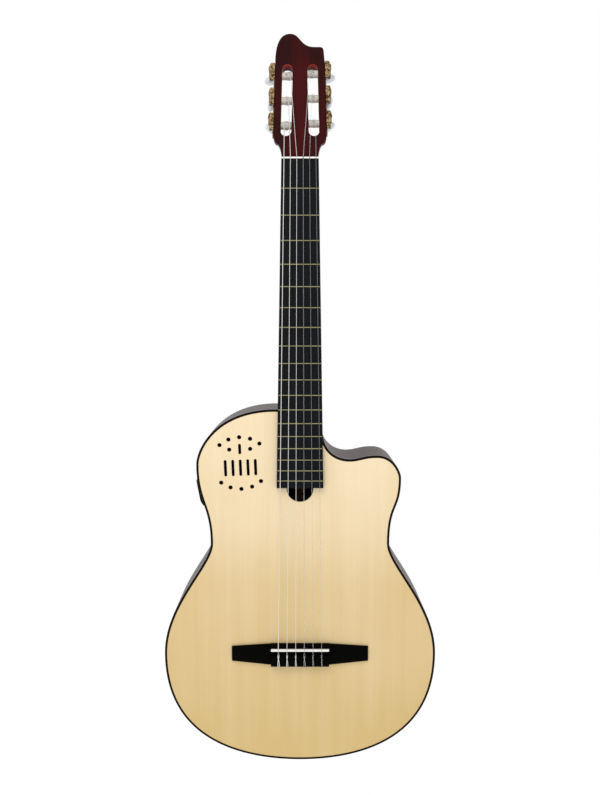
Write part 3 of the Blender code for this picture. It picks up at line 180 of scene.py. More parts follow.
class Graph:
    """The node tree of one new material, or of a world, with the shader that it ends in."""

    def __init__(self, name, owner=None, shader="Principled BSDF"):
        self.owner = owner or bpy.data.materials.new(name)
        self.owner.use_nodes = True
        self.tree = self.owner.node_tree
        self.shader = self.tree.nodes[shader]

    def plug(self, socket, value):
        """Link a value to a socket, or set the socket's own number, vector or colour."""
        if isinstance(value, Value):
            self.tree.links.new(value.socket, socket)
            return
        if hasattr(value, "__len__") and len(value) == 3 and len(socket.default_value) == 4:
            value = (*value, 1.0)
        socket.default_value = value

    def node(self, kind, sockets=None, output=0, stops=None, **settings):
        """Add one node: its settings first, then its ramp's stops, then its sockets."""
        node = self.tree.nodes.new(kind)
        for name, setting in settings.items():
            setattr(node, name, setting)
        if stops:
            ramp = node.color_ramp
            while len(ramp.elements) < len(stops):
                ramp.elements.new(0.5)
            for element, (place, level) in zip(ramp.elements, stops):
                element.position = place
                element.color = (level, level, level, 1.0)
        for name, value in (sockets or {}).items():
            self.plug(node.inputs[name], value)
        return Value(self, node.outputs[output])

    def place(self):
        """Object coordinates, in metres."""
        return self.node("ShaderNodeTexCoord", output="Object")

    def own_map(self):
        """The piece's own UV map."""
        return self.node("ShaderNodeUVMap", uv_map="surface")

    def mapped(self, vector, **sockets):
        """A vector through a Mapping node with a Scale, Rotation or Location."""
        return self.node("ShaderNodeMapping", {"Vector": vector, **sockets})

    def axis(self, name, vector=None):
        """One axis of a vector, or else of the object coordinates."""
        return self.node("ShaderNodeSeparateXYZ", {0: vector or self.place()}, output=name)

    def noise(self, scale, detail=3.0, roughness=0.5, distortion=0.0, vector=None):
        """Noise from about 0.3 to 0.7, with one scale for all axes or one for each."""
        scale = scale if isinstance(scale, tuple) else (scale, scale, scale)
        vector = self.mapped(vector or self.place(), Scale=scale)
        sockets = {"Vector": vector, "Scale": 1.0, "Detail": detail, "Roughness": roughness}
        sockets["Distortion"] = distortion
        return self.node("ShaderNodeTexNoise", sockets)

    def spots(self, scale):
        """Distance to the nearest of scattered points."""
        return self.node("ShaderNodeTexVoronoi", {"Vector": self.place(), "Scale": scale})

    def ramp(self, value, *stops):
        """A number through (place, level) stops."""
        return self.node("ShaderNodeValToRGB", {0: value}, stops=stops)

    def mix(self, factor, first, second):
        """A colour between two."""
        sockets = {"Factor": factor, 6: first, 7: second}
        return self.node("ShaderNodeMix", sockets, output=2, data_type="RGBA", clamp_factor=True)

    def bump(self, height, strength, distance):
        """A normal from a height."""
        sockets = {"Height": height, "Strength": strength, "Distance": distance}
        return self.node("ShaderNodeBump", sockets)

    def finish(self, **sockets):
        """Set the shader's sockets, named with underscores for spaces, and return the tree's owner."""
        for name, value in sockets.items():
            self.plug(self.shader.inputs[name.replace("_", " ")], value)
        return self.owner


# Finishes


def times(factor, colour):
    """A colour made darker or lighter by a factor."""
    return tuple(factor * c for c in colour)


def spruce_finish(colours):
    """Lacquered spruce: fine rings that mirror at the centre seam, broad bands and cross silk, under painted
    light that makes it paler towards the neck and more amber towards the tail.
    """
    g = Graph("spruce_top")
    across = g.axis("X").math("ABSOLUTE")
    height = g.axis("Z")
    leaf = g.node("ShaderNodeCombineXYZ", {0: across, 1: g.axis("Y"), 2: height})
    warp = g.noise((9, 9, 1.6), 2.0, vector=leaf)
    rings = (across + warp * 0.012) * (2 * math.pi / colours.ring_pitch)
    ring = rings.math("SINE") * 0.5 + 0.5
    streak = g.noise((900, 40, 5), 4.0, vector=leaf)
    band = g.noise((38, 4, 1.2), vector=leaf)
    silk = g.noise((60, 60, 420), 3.0, 0.6, 0.6)
    cloud = g.noise((7, 7, 5), 2.0)
    # Painted light: the spruce is painted paler towards the neck and more amber towards the tail, standing in
    # for the lamp's light falling off down the top. Bands and clouds add the wood's own tone between the same
    # two colours.
    down = (height - JOINT_Z) / -BODY_LENGTH
    fade = g.ramp(down, (0.10, 0.0), (0.32, 0.26), (0.49, 0.67), (0.72, 0.78), (0.94, 1.0))
    tone = fade + (band - 0.5) * 0.60 + (cloud - 0.5) * 0.60
    wood = g.mix(tone, colours.spruce_pale_and_lit, colours.spruce_amber_and_shaded)
    line = ring ** 3.0 * 0.30 + (streak - 0.5) * 1.1 + (silk - 0.5) * 0.35
    wood = g.mix(line * 0.34, wood, colours.spruce_line)
    seam = across.math("LESS_THAN", 0.00022)
    wood = g.mix(seam * 0.22, wood, colours.spruce_line)
    return g.finish(Base_Color=wood, Roughness=0.33 + (streak - 0.5) * 0.10,
                    Normal=g.bump(ring * 0.5 + streak, 0.12, 0.0002), Coat_Weight=0.20,
                    Coat_Roughness=0.22, Specular_IOR_Level=0.25)


def dark_wood(name, dark, light, scale, coat, rough, gloss=0.12, surface=False, slot=None):
    """A dark hardwood under lacquer: long figure, fine streaks and short dark pores.

    With a slot colour the wood is a neck: painted light makes the head lighter and redder towards the middle,
    and painted shade darkens it at the head's crest and bass edge. The slot colour, the slots' red stain with
    painted light on it, shows on the walls of the head's slots with painted shade deeper in, and the walls
    between the head's two faces have no coat.
    """
    g = Graph(name)
    vector = g.own_map() if surface else g.place()
    figure = g.noise(scale, 5.0, 0.6, 0.8, vector)
    fine = g.noise(times(9, scale), vector=vector)
    short = g.noise(times(22, scale), 2.0, vector=vector)
    tone = figure * 0.8 + fine * 0.2
    if slot:
        from_head = g.mapped(g.place(), Location=-HEAD_START)
        head = g.mapped(from_head, Rotation=(HEAD_ANGLE, 0.0, 0.0))
        side = g.axis("X", head)
        along = g.axis("Z", head)
        # Painted light and shade across the head: lighter and redder towards the middle, darker at the bass
        # edge.
        painted_light_across = g.ramp(side * 15.0 + 0.5, (0.12, 0.02), (0.30, 0.10), (0.49, 0.28), (0.56, 0.28),
                        (0.74, 0.13), (0.92, 0.12))
        # Painted shade: the head is painted darker towards its crest.
        crest = g.ramp(along * 5.0, (0.60, 0.0), (0.78, 0.15))
        tone = tone + painted_light_across - crest - 0.12
    wood = g.mix(g.ramp(tone, (0.36, 0.0), (0.66, 1.0)), dark, light)
    pore = g.ramp(short, (0.60, 0.0), (0.66, 1.0))
    wood = g.mix(pore * 0.55, wood, times(0.25, dark))
    if slot:
        depth = g.axis("Y", head)
        wall = depth.math("GREATER_THAN", SLOT_EASE) * depth.math("LESS_THAN", HEAD_THICKNESS - SLOT_EASE)
        wall = wall * along.math("GREATER_THAN", 0.001)
        inside = wall * side.math("ABSOLUTE").math("LESS_THAN", 0.0285)
        inside = inside * along.math("GREATER_THAN", 0.028) * along.math("LESS_THAN", 0.134)
        # Painted light and shade on the slot walls: the slots' red stain is painted bright where light falls
        # in, and painted shade darkens it deeper into the slot.
        shade = g.ramp(depth * 50.0, (0.08, 0.0), (0.60, 1.0))
        wood = g.mix(inside, wood, g.mix(shade, slot, times(0.16, slot)))
        coat = (1.0 - wall) * coat
    return g.finish(Base_Color=wood, Roughness=rough + (fine - 0.5) * 0.08,
                    Normal=g.bump(fine - pore * 0.5, 0.06, 0.0002), Coat_Weight=coat,
                    Coat_Roughness=0.06, Specular_IOR_Level=gloss)


def ebony_finish(name, colour, rough, gloss):
    """Oiled black wood: barely lighter streaks and open pores along the grain, a soft sheen."""
    g = Graph(name)
    streak = g.noise((420, 420, 9), 4.0, 0.6)
    pore = g.ramp(g.noise((1500, 1500, 60), 2.0), (0.60, 0.0), (0.68, 1.0))
    worn = g.noise((30, 30, 14))
    wood = g.mix((streak - 0.35) * 1.2 + (worn - 0.5) * 0.4, colour, times(2.2, colour))
    wood = g.mix(pore * 0.7, wood, (0.001, 0.001, 0.001))
    return g.finish(Base_Color=wood, Roughness=rough + (worn - 0.5) * 0.2,
                    Normal=g.bump(streak * 0.4 - pore, 0.10, 0.0001), Specular_IOR_Level=gloss)


def binding_finish():
    """Black celluloid: a trace of brown mottle, polished with faint swirls."""
    g = Graph("black_binding")
    mottle = g.noise(60, 4.0)
    swirl = g.noise(700, 2.0)
    colour = (0.0045, 0.0018, 0.0010)
    body = g.mix((mottle - 0.4) * 1.5, colour, times(2.0, colour))
    return g.finish(Base_Color=body, Roughness=0.16 + (swirl - 0.5) * 0.10,
                    Normal=g.bump(swirl, 0.03, 0.0001), Specular_IOR_Level=0.08)


def metal_finish(name, bright, dull, rough):
    """Plated metal: tarnish clouds, fine brushing and small pits."""
    g = Graph(name)
    cloud = g.noise(90, 4.0)
    hair = g.noise(260)
    pit = g.ramp(g.spots(900.0), (0.02, 1.0), (0.10, 0.0))
    colour = g.mix((cloud - 0.35) * 1.6, bright, dull)
    colour = g.mix(pit * 0.35, colour, times(0.4, dull))
    return g.finish(Base_Color=colour, Metallic=1.0, Roughness=rough + (hair - 0.5) * 0.22 + pit * 0.1,
                    Normal=g.bump(hair - pit * 0.4, 0.08, 0.0001))


def brass_finish(name, gold, hollow, size, warp, relief):
    """Antique brass: scrolling relief that is dark in its hollows and rubbed bright on its crests."""
    g = Graph(name)
    scroll = g.noise(size, 2.0, 0.5, warp)
    fine = g.noise(2400, 2.0)
    crest = g.ramp(scroll + (fine - 0.5) * 0.12, (0.45, 0.0), (0.60, 1.0))
    body = g.mix(crest, tuple(h * c for h, c in zip(hollow, gold)), gold)
    return g.finish(Base_Color=body, Metallic=1.0, Roughness=0.46 - crest * 0.18,
                    Normal=g.bump(crest + fine * 0.2, relief, 0.0004))


def fret_finish():
    """Brass fret wire: a polished crown, with painted shade that darkens it towards its foot."""
    g = Graph("fret_wire")
    hair = g.noise((40, 900, 900))
    height = g.axis("Y") / -0.0010
    # Painted shade: only the top of the crown keeps the bright brass colour and metal, and below it the fret
    # is painted dark towards its foot.
    bright = g.ramp(height + (hair - 0.5) * 0.15, (0.80, 0.0), (0.98, 1.0))
    grime_and_shade, crown = (0.024, 0.020, 0.010), (0.44, 0.415, 0.225)
    return g.finish(Base_Color=g.mix(bright, grime_and_shade, crown), Metallic=bright * 0.9,
                    Roughness=0.42 - bright * 0.16, Normal=g.bump(hair, 0.05, 0.0001),
                    Specular_IOR_Level=0.1)


def bone_finish():
    """Bleached bone: cream flecks and short brown pores under a polish."""
    g = Graph("bone_white")
    fleck = g.noise((160, 500, 500), 4.0)
    pore = g.ramp(g.noise((300, 1800, 1800), 2.0), (0.66, 0.0), (0.74, 1.0))
    body = g.mix((fleck - 0.35) * 1.2, (0.93, 0.92, 0.89), (0.86, 0.82, 0.72))
    body = g.mix(pore * 0.35, body, (0.60, 0.48, 0.34))
    return g.finish(Base_Color=body, Roughness=0.30 + (fleck - 0.5) * 0.2,
                    Normal=g.bump(fleck - pore, 0.08, 0.0001), Subsurface_Weight=0.15,
                    Subsurface_Scale=0.002)


def nylon_finish():
    """Clear drawn nylon: milky, with fine draw marks, and painted dark and nearly opaque where it runs over
    the board, standing in for the black board seen through it.
    """
    g = Graph("clear_nylon")
    marks = g.noise((400, 18, 1), vector=g.own_map())
    # Painted see-through: over the fingerboard the string is painted dark and more opaque, standing in for
    # the black board seen through the clear nylon.
    place = g.axis("Z") * (-0.9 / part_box("fingerboard")[0].z) + 0.95
    board = g.ramp(place, (0.045, 0.0), (0.050, 1.0), (0.955, 1.0), (0.965, 0.0))
    milky = g.mix(board, (0.54, 0.545, 0.555), (0.158, 0.160, 0.164))
    pale = g.mix(board, (0.70, 0.70, 0.69), (0.202, 0.202, 0.198))
    return g.finish(Base_Color=g.mix(marks, milky, pale), Roughness=0.25 + (marks - 0.5) * 0.2,
                    Alpha=0.30 + board * 0.60 + (marks - 0.5) * 0.1, Normal=g.bump(marks, 0.05, 0.0001))


def wound_finish():
    """Silver-plated winding: a tight ridge every turn, polished crests and grey valleys."""
    g = Graph("silver_winding")
    wire = 0.00034
    along = g.axis("Y", g.own_map()) * (2 * math.pi / wire)
    ridge = along.math("SINE") * 0.5 + 0.5
    worn = g.noise((1, 30, 1), vector=g.own_map())
    body = g.mix(ridge ** 0.6, (0.60, 0.59, 0.565), (0.86, 0.845, 0.81))
    body = g.mix((worn - 0.45) * 0.8, body, (0.80, 0.77, 0.70))
    return g.finish(Base_Color=body, Metallic=0.60, Roughness=0.34 - ridge * 0.06,
                    Normal=g.bump(ridge, 0.5, 0.0001))


def pearl_finish():
    """Pearloid: pale curls with a faint violet and green cast under a clear skin."""
    g = Graph("pearl_button")
    curl = g.noise(150, 4.0, 0.55, 2.2)
    cast = g.noise(70, 2.0, 0.5, 1.0)
    body = g.mix((curl - 0.3) * 2.0, (0.58, 0.60, 0.68), (0.84, 0.85, 0.91))
    body = g.mix((cast - 0.52) * 2.2, body, (0.74, 0.80, 0.76))
    body = g.mix((0.46 - cast) * 2.2, body, (0.78, 0.74, 0.84))
    return g.finish(Base_Color=body, Roughness=0.22 + (curl - 0.5) * 0.1, Coat_Weight=0.6,
                    Coat_Roughness=0.05, Normal=g.bump(curl, 0.04, 0.0002))


def roller_finish():
    """White moulded roller: a little grime in bands where the string has rubbed."""
    g = Graph("white_roller")
    grime_and_shade = g.noise((300, 60, 60), 4.0)
    body = g.mix((grime_and_shade - 0.42) * 1.8, (0.56, 0.53, 0.46), (0.28, 0.25, 0.20))
    return g.finish(Base_Color=body, Roughness=0.34 + (grime_and_shade - 0.5) * 0.3,
                    Normal=g.bump(grime_and_shade, 0.06, 0.0001))


def plastic_finish(name, colour, rough=0.42, gloss=0.4, grain=2600.0):
    """Moulded plastic with a fine spark-eroded texture and slightly polished high spots."""
    g = Graph(name)
    worn = g.noise(90)
    body = g.mix((worn - 0.45) * 1.2, colour, times(1.7, colour))
    return g.finish(Base_Color=body, Roughness=rough + (worn - 0.5) * 0.25,
                    Normal=g.bump(g.spots(grain), 0.12, 0.0001), Specular_IOR_Level=gloss)


def cedar_finish():
    """Bare cedar inside the box: straight brown grain, a dry fuzzy face."""
    g = Graph("bare_cedar")
    rings = g.noise((260, 260, 14), 4.0)
    fuzz = g.noise((1400, 1400, 120), 2.0)
    wood = g.mix((rings - 0.3) * 1.8, (0.33, 0.20, 0.11), (0.19, 0.10, 0.05))
    return g.finish(Base_Color=wood, Roughness=0.72 + (fuzz - 0.5) * 0.2,
                    Normal=g.bump(fuzz + rings, 0.25, 0.0002), Specular_IOR_Level=0.2)


BLACK_PLASTIC = (0.0030, 0.0027, 0.0026)
RECIPES = {
    "spruce": spruce_finish,
    "rib": lambda colours: dark_wood("rosewood_rib", colours.rosewood_dark, colours.rosewood_light,
                                     (3.0, 130.0, 1.0), 0.14, 0.5, 0.08, surface=True),
    "back": lambda colours: dark_wood("rosewood_back", colours.rosewood_dark, colours.rosewood_light,
                                      (130.0, 20.0, 3.2), 0.25, 0.4),
    "neck": lambda colours: dark_wood("mahogany_neck", colours.mahogany_dark, colours.mahogany_light,
                                      (110.0, 60.0, 4.5), 0.06, 0.38, 0.05, slot=colours.mahogany_slot_stain_and_light),
    "ebony": lambda colours: ebony_finish("ebony_board", (0.0052, 0.0058, 0.0072), 0.50, 0.07),
    "bridge": lambda colours: ebony_finish("black_bridge", (0.0011, 0.0010, 0.0008), 0.42, 0.02),
    "binding": lambda colours: binding_finish(),
    "fret": lambda colours: fret_finish(),
    "brass": lambda colours: brass_finish("engraved_brass", colours.brass, (0.16, 0.12, 0.06),
                                          300, 1.4, 0.45),
    "gilt": lambda colours: brass_finish("gilt_brass", times(0.72, colours.brass), (0.62, 0.58, 0.50),
                                         160, 0.5, 0.08),
    "steel": lambda colours: metal_finish("bright_steel", (0.56, 0.55, 0.54), (0.34, 0.33, 0.32), 0.22),
    "chrome": lambda colours: metal_finish("chrome_pin", (0.58, 0.58, 0.60), (0.36, 0.36, 0.38), 0.16),
    "bone": lambda colours: bone_finish(),
    "nylon": lambda colours: nylon_finish(),
    "wound": lambda colours: wound_finish(),
    "pearl": lambda colours: pearl_finish(),
    "roller": lambda colours: roller_finish(),
    "black_plastic": lambda colours: plastic_finish("black_plastic", BLACK_PLASTIC, gloss=0.06),
    "gasket": lambda colours: plastic_finish("black_gasket", BLACK_PLASTIC, 0.85, 0.0, 1800.0),
    "grey_plastic": lambda colours: plastic_finish("grey_plastic", (0.26, 0.26, 0.27)),
    "cedar": lambda colours: cedar_finish(),
}
FINISHES = {}


def finish_named(name):
    """A finish by its short name, made when a piece first asks for it."""
    if name not in FINISHES:
        FINISHES[name] = RECIPES[name](bpy.context.scene.guitar_colours)
    return FINISHES[name]


# Mesh tools


def linked(name, data):
    """A new object of the scene."""
    piece = bpy.data.objects.new(name, data)
    bpy.context.scene.collection.objects.link(piece)
    return piece


def applied(piece, helpers=()):
    """The mesh that an object's modifiers make; the object and its helpers are removed."""
    bpy.context.view_layer.update()
    shown = piece.evaluated_get(bpy.context.evaluated_depsgraph_get())
    result = bpy.data.meshes.new_from_object(shown)
    for used in (*helpers, piece):
        bpy.data.objects.remove(used)
    return result


def add_piece(name, mesh, finishes, body, nodes, smooth=32.0):
    """Link a mesh as a piece that rides on a body, stands for nodes and has its finishes."""
    piece = linked(name, mesh)
    for finish in finishes:
        mesh.materials.append(finish_named(finish))
    mesh.shade_smooth()
    mesh.set_sharp_from_angle(angle=math.radians(smooth))
    if nodes:
        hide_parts(*nodes)
    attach(piece, body)
    return piece


def grid(*parts):
    """An array of points, or of places on a map, from coordinates that spread to one shape."""
    return np.stack(np.broadcast_arrays(*parts), axis=-1)


def refinish(node, finish):
    """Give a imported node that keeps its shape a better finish."""
    mesh = frame["nodes"][node].data
    mesh.materials.clear()
    mesh.materials.append(finish_named(finish))


def ring_mesh(name, rings, own=None, closed=False):
    """A closed surface through rings of equally many points: an (m, n, 3) array, capped at its ends.

    A closed one joins its last ring to its first instead. own holds the points' places on the UV map.
    """
    rows, columns = rings.shape[:2]
    a, b = np.meshgrid(np.arange(rows if closed else rows - 1), np.arange(columns), indexing="ij")
    after_a = (a + 1) % rows
    after_b = (b + 1) % columns
    quads = np.stack([a * columns + b, a * columns + after_b,
                      after_a * columns + after_b, after_a * columns + b], axis=-1)
    faces = quads.reshape(-1, 4).tolist()
    if not closed:
        faces += [list(range(columns))[::-1], list(range((rows - 1) * columns, rows * columns))]
    mesh = bpy.data.meshes.new(name)
    mesh.from_pydata(rings.reshape(-1, 3).tolist(), [], faces)
    if own is not None:
        layer = mesh.uv_layers.new(name="surface")
        corners = np.zeros(len(mesh.loops), np.int32)
        mesh.loops.foreach_get("vertex_index", corners)
        layer.data.foreach_set("uv", own.reshape(-1, 2)[corners].astype(np.float32).ravel())
    mesh.update()
    turn_outwards(mesh)
    return mesh


def turn_outwards(mesh):
    """Turn a closed mesh's faces outwards, by the sign of its signed volume."""
    mesh.calc_loop_triangles()
    corners = np.zeros(len(mesh.loop_triangles) * 3, np.int32)
    mesh.loop_triangles.foreach_get("vertices", corners)
    points = np.zeros(len(mesh.vertices) * 3)
    mesh.vertices.foreach_get("co", points)
    a, b, c = points.reshape(-1, 3)[corners.reshape(-1, 3)].transpose(1, 0, 2)
    if np.einsum("ij,ij->i", a, np.cross(b, c)).sum() < 0:
        mesh.flip_normals()


def carve(mesh, tools, operation="DIFFERENCE"):
    """Take closed tool meshes out of a mesh, or join them to it, by exact Booleans."""
    target = linked("carved", mesh)
    helpers = [linked("tool", tool) for tool in tools]
    for helper in helpers:
        modifier = target.modifiers.new("carve", "BOOLEAN")
        modifier.operation = operation
        modifier.solver = "EXACT"
        modifier.object = helper
    return applied(target, helpers)


def joined(name, meshes, indices=None):
    """One mesh from several closed ones; indices give the finish of each."""
    points, faces, finishes, start = [], [], [], 0
    for i, mesh in enumerate(meshes):
        co = np.zeros(len(mesh.vertices) * 3)
        mesh.vertices.foreach_get("co", co)
        points.append(co.reshape(-1, 3))
        corners = np.zeros(len(mesh.loops), np.int32)
        mesh.loops.foreach_get("vertex_index", corners)
        firsts = np.zeros(len(mesh.polygons), np.int32)
        mesh.polygons.foreach_get("loop_start", firsts)
        faces += [face.tolist() for face in np.split(corners + start, firsts[1:])]
        finishes += [indices[i] if indices else 0] * len(mesh.polygons)
        start += len(mesh.vertices)
    whole = bpy.data.meshes.new(name)
    whole.from_pydata(np.vstack(points).tolist(), [], faces)
    whole.polygons.foreach_set("material_index", finishes)
    whole.update()
    return whole


def bevelled(mesh, width):
    """A mesh with its sharp edges rounded by a Bevel modifier, applied."""
    piece = linked("bevelled", mesh)
    modifier = piece.modifiers.new("edges", "BEVEL")
    modifier.width = width
    modifier.segments = 2
    modifier.limit_method = "ANGLE"
    modifier.angle_limit = math.radians(35.0)
    return applied(piece)


def full_turn(steps):
    """Evenly spread angles of a full turn."""
    return np.linspace(0, 2 * np.pi, steps, endpoint=False)


def turned(name, profile, centre, axis, sides=48):
    """A lathe form: (radius, distance along the axis) pairs turned round an axis through a centre."""
    profile = np.array(profile, float)
    axis = np.array(axis, float) / np.linalg.norm(axis)
    first = np.cross(axis, (0.31, 0.27, 0.91))
    first /= np.linalg.norm(first)
    second = np.cross(axis, first)
    turn = full_turn(sides)
    spoke = np.cos(turn)[:, None] * first + np.sin(turn)[:, None] * second
    rings = np.array(centre) + profile[:, 1, None, None] * axis + profile[:, 0, None, None] * spoke
    return ring_mesh(name, rings)


def rod(name, radius, start, end, centre, axis, sides=48):
    """A round rod between two distances along an axis through a centre."""
    return turned(name, [(radius, start), (radius, end)], centre, axis, sides)


def arc(centre, radius, start, end, steps):
    """Points of a circular arc, in degrees."""
    turn = np.radians(np.linspace(start, end, steps))
    return grid(centre[0] + radius * np.cos(turn), centre[1] + radius * np.sin(turn))


def bezier_run(stations):
    """A smooth line through stations that are level ("h") or upright ("v") there.

    Each station is (x, z, heading, reach in, reach out, steps); between two of them runs a cubic
    Bezier, of four pieces for each step, whose handles keep a share of the step in the heading's
    direction.
    """
    points = [np.array([stations[0][:2]])]
    for before, after in zip(stations[:-1], stations[1:]):
        start = np.array(before[:2])
        end = np.array(after[:2])
        step = end - start
        leave = start + step * ((before[4], 0.0) if before[2] == "h" else (0.0, before[4]))
        arrive = end - step * ((after[3], 0.0) if after[2] == "h" else (0.0, after[3]))
        t = np.linspace(0, 1, after[5] * 4 + 1)[1:, None]
        s = 1 - t
        points.append(s ** 3 * start + 3 * s * s * t * leave + 3 * s * t * t * arrive + t ** 3 * end)
    return np.vstack(points)


def side_normals(points, closed=False):
    """Unit normals to the left of a line's direction of travel."""
    if closed:
        slope = np.roll(points, -1, axis=0) - np.roll(points, 1, axis=0)
    else:
        slope = np.gradient(points, axis=0)
    slope /= np.linalg.norm(slope, axis=1)[:, None]
    return grid(-slope[:, 1], slope[:, 0])


def lengths(points):
    """Distance along a line at each of its points."""
    return np.concatenate([[0.0], np.cumsum(np.linalg.norm(np.diff(points, axis=0), axis=1))])


def outline_rings(outline, levels, inward=None):
    """Rings (a, b, level) of an outline (a, b): one for each (inset, level) pair, moved inwards.

    A level is a number, or a function of the moved points. Without normals the outline is closed.
    """
    if inward is None:
        inward = side_normals(outline, closed=True)
        following = np.roll(outline, -1, axis=0)
        area = np.sum(outline[:, 0] * following[:, 1] - outline[:, 1] * following[:, 0])
        inward *= 1 if area > 0 else -1
    rings = []
    for inset, level in levels:
        spot = outline + inward * inset
        rings.append(np.column_stack([spot, level(spot) if callable(level) else np.full(len(spot), level)]))
    return np.array(rings)


def rounded_slab(outline, low, high, radius, steps=5):
    """Rings of a slab of an outline between two levels, with quarter circles for its edges."""
    curve = np.radians(np.linspace(0, 90, steps))
    levels = [(radius * (1 - math.sin(t)), low + radius * (1 - math.cos(t))) for t in curve]
    levels += [(radius * (1 - math.sin(t)), high - radius * (1 - math.cos(t))) for t in curve[::-1]]
    return outline_rings(outline, levels)


def box_mesh(low, high, place=np.asarray):
    """A box between two corners, in the world's frame or in one that place leads from."""
    ring = np.array([(low[0], low[1]), (high[0], low[1]), (high[0], high[1]), (low[0], high[1])])
    return ring_mesh("box", place(outline_rings(ring, [(0.0, low[2]), (0.0, high[2])])))


# Sound box


def body_edge():
    """The body's outer edge (x, z) from the bass side of the heel round the tail to its treble side."""
    stations = [
        (-0.0322, JOINT_Z, "h", 0.0, 0.764, 0),
        (-0.1392, JOINT_Z - 0.0750, "v", 0.281, 0.474, 11),
        (-0.1206, JOINT_Z - 0.1820, "v", 0.490, 0.193, 5),
        (-0.1846, JOINT_Z - 0.3350, "v", 0.447, 0.888, 7),
        (0.0, TAIL_Z, "h", 0.342, 0.342, 11),
        (0.1846, JOINT_Z - 0.3350, "v", 0.888, 0.447, 11),
        (0.1206, JOINT_Z - 0.1820, "v", 0.193, 0.626, 7),
        (0.1358, JOINT_Z - 0.0930, "v", 0.501, 0.220, 5),
        (0.1034, JOINT_Z - 0.0622, "h", 0.740, 0.509, 7),
        (0.0660, JOINT_Z - 0.0672, "h", 0.373, 0.342, 4),
        (0.0300, JOINT_Z - 0.0270, "v", 0.825, 0.0, 6),
    ]
    line = bezier_run(stations)
    corner = arc((0.0250, JOINT_Z - 0.0050), 0.0050, 0, 90, 10)
    web = 0.0093
    return np.vstack([[(-web, JOINT_Z)], line, corner, [(web, JOINT_Z)]])


def back_y(z):
    """Depth of the back's outer face at a height."""
    return TOP_Y + DEPTH_AT_JOINT + (DEPTH_AT_TAIL - DEPTH_AT_JOINT) * (JOINT_Z - z) / BODY_LENGTH


def off_back(distance):
    """A depth at a distance in front of the back's outer face, as a function of (x, z) points."""
    return lambda spot: back_y(spot[:, 1]) - distance


def edge_strip(name, line, inward, section):
    """A strip whose section, (inset, depth) pairs, is carried along the body's edge.

    The UV map holds the distance along the edge and the depth.
    """
    rings = outline_rings(line, section, inward)[..., [0, 2, 1]].transpose(1, 0, 2)
    return ring_mesh(name, rings, grid(lengths(line)[:, None], rings[..., 1]))


def plate_mesh(name, outline, levels):
    """A plate of an outline (x, z); levels are (inset, depth) pairs from face to face."""
    return ring_mesh(name, outline_rings(outline, levels)[..., [0, 2, 1]])


def slit(x, low, high, width, steps=18):
    """Outline of an upright slit with round ends; a round hole where it is as high as wide."""
    half = width / 2
    upper = arc((x, high - half), half, 0, 180, steps)
    lower = arc((x, low + half), half, 180, 360, steps)
    ring = np.vstack([upper, lower])
    keep = np.linalg.norm(ring - np.roll(ring, 1, axis=0), axis=1) > 1e-5
    return ring[keep]


def port_outlines():
    """The 12 round holes and 6 slits of the bass upper bout, turned a little about their centre."""
    radius, bow, reach, width = 0.0029, 0.0420, 0.0350, 0.0039
    spots = []
    for sign in (1, -1):
        for degrees in (-39.5, -20.2, 0.0, 20.2, 39.5):
            angle = math.radians(degrees)
            spots.append((bow * math.sin(angle), sign * (reach - bow + bow * math.cos(angle))))
        spots.append((sign * 0.0140, 0.0188))
    outlines = [slit(x, z - radius, z + radius, 2 * radius) for x, z in spots]
    outlines.append(slit(0.0, 0.0120, 0.0262, width))
    outlines += [slit(i * 0.0101, -0.0174, 0.0050, width) for i in range(-2, 3)]
    turn = math.radians(2.2)
    matrix = np.array([[math.cos(turn), math.sin(turn)], [-math.sin(turn), math.cos(turn)]])
    centre = np.array([-0.0800, JOINT_Z - 0.0725])
    return [outline @ matrix + centre for outline in outlines]


def opening_tool(outline, ease):
    """A cutter through the soundboard that flares a little at the face, so the edge is eased."""
    levels = [(-2 * ease, TOP_Y - ease), (0.0, TOP_Y + ease), (0.0, TOP_Y + 2 * SOUNDBOARD)]
    return plate_mesh("opening_tool", outline, levels)


def pin_centre():
    """Middle of the end pin, at the tail."""
    low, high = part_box("end_pin_jack")
    return (low.x + high.x) / 2, (low.y + high.y) / 2, TAIL_Z


class BodySettings(bpy.types.PropertyGroup):
    """Sizes of the sound box's visible edges."""

    rounding: FloatProperty(name="Binding rounding", description="Radius of the binding's outer edge",
                            default=0.0012, unit="LENGTH")
    easing: FloatProperty(name="Opening easing", description="Width of the eased edge of each opening",
                          default=0.00018, unit="LENGTH")


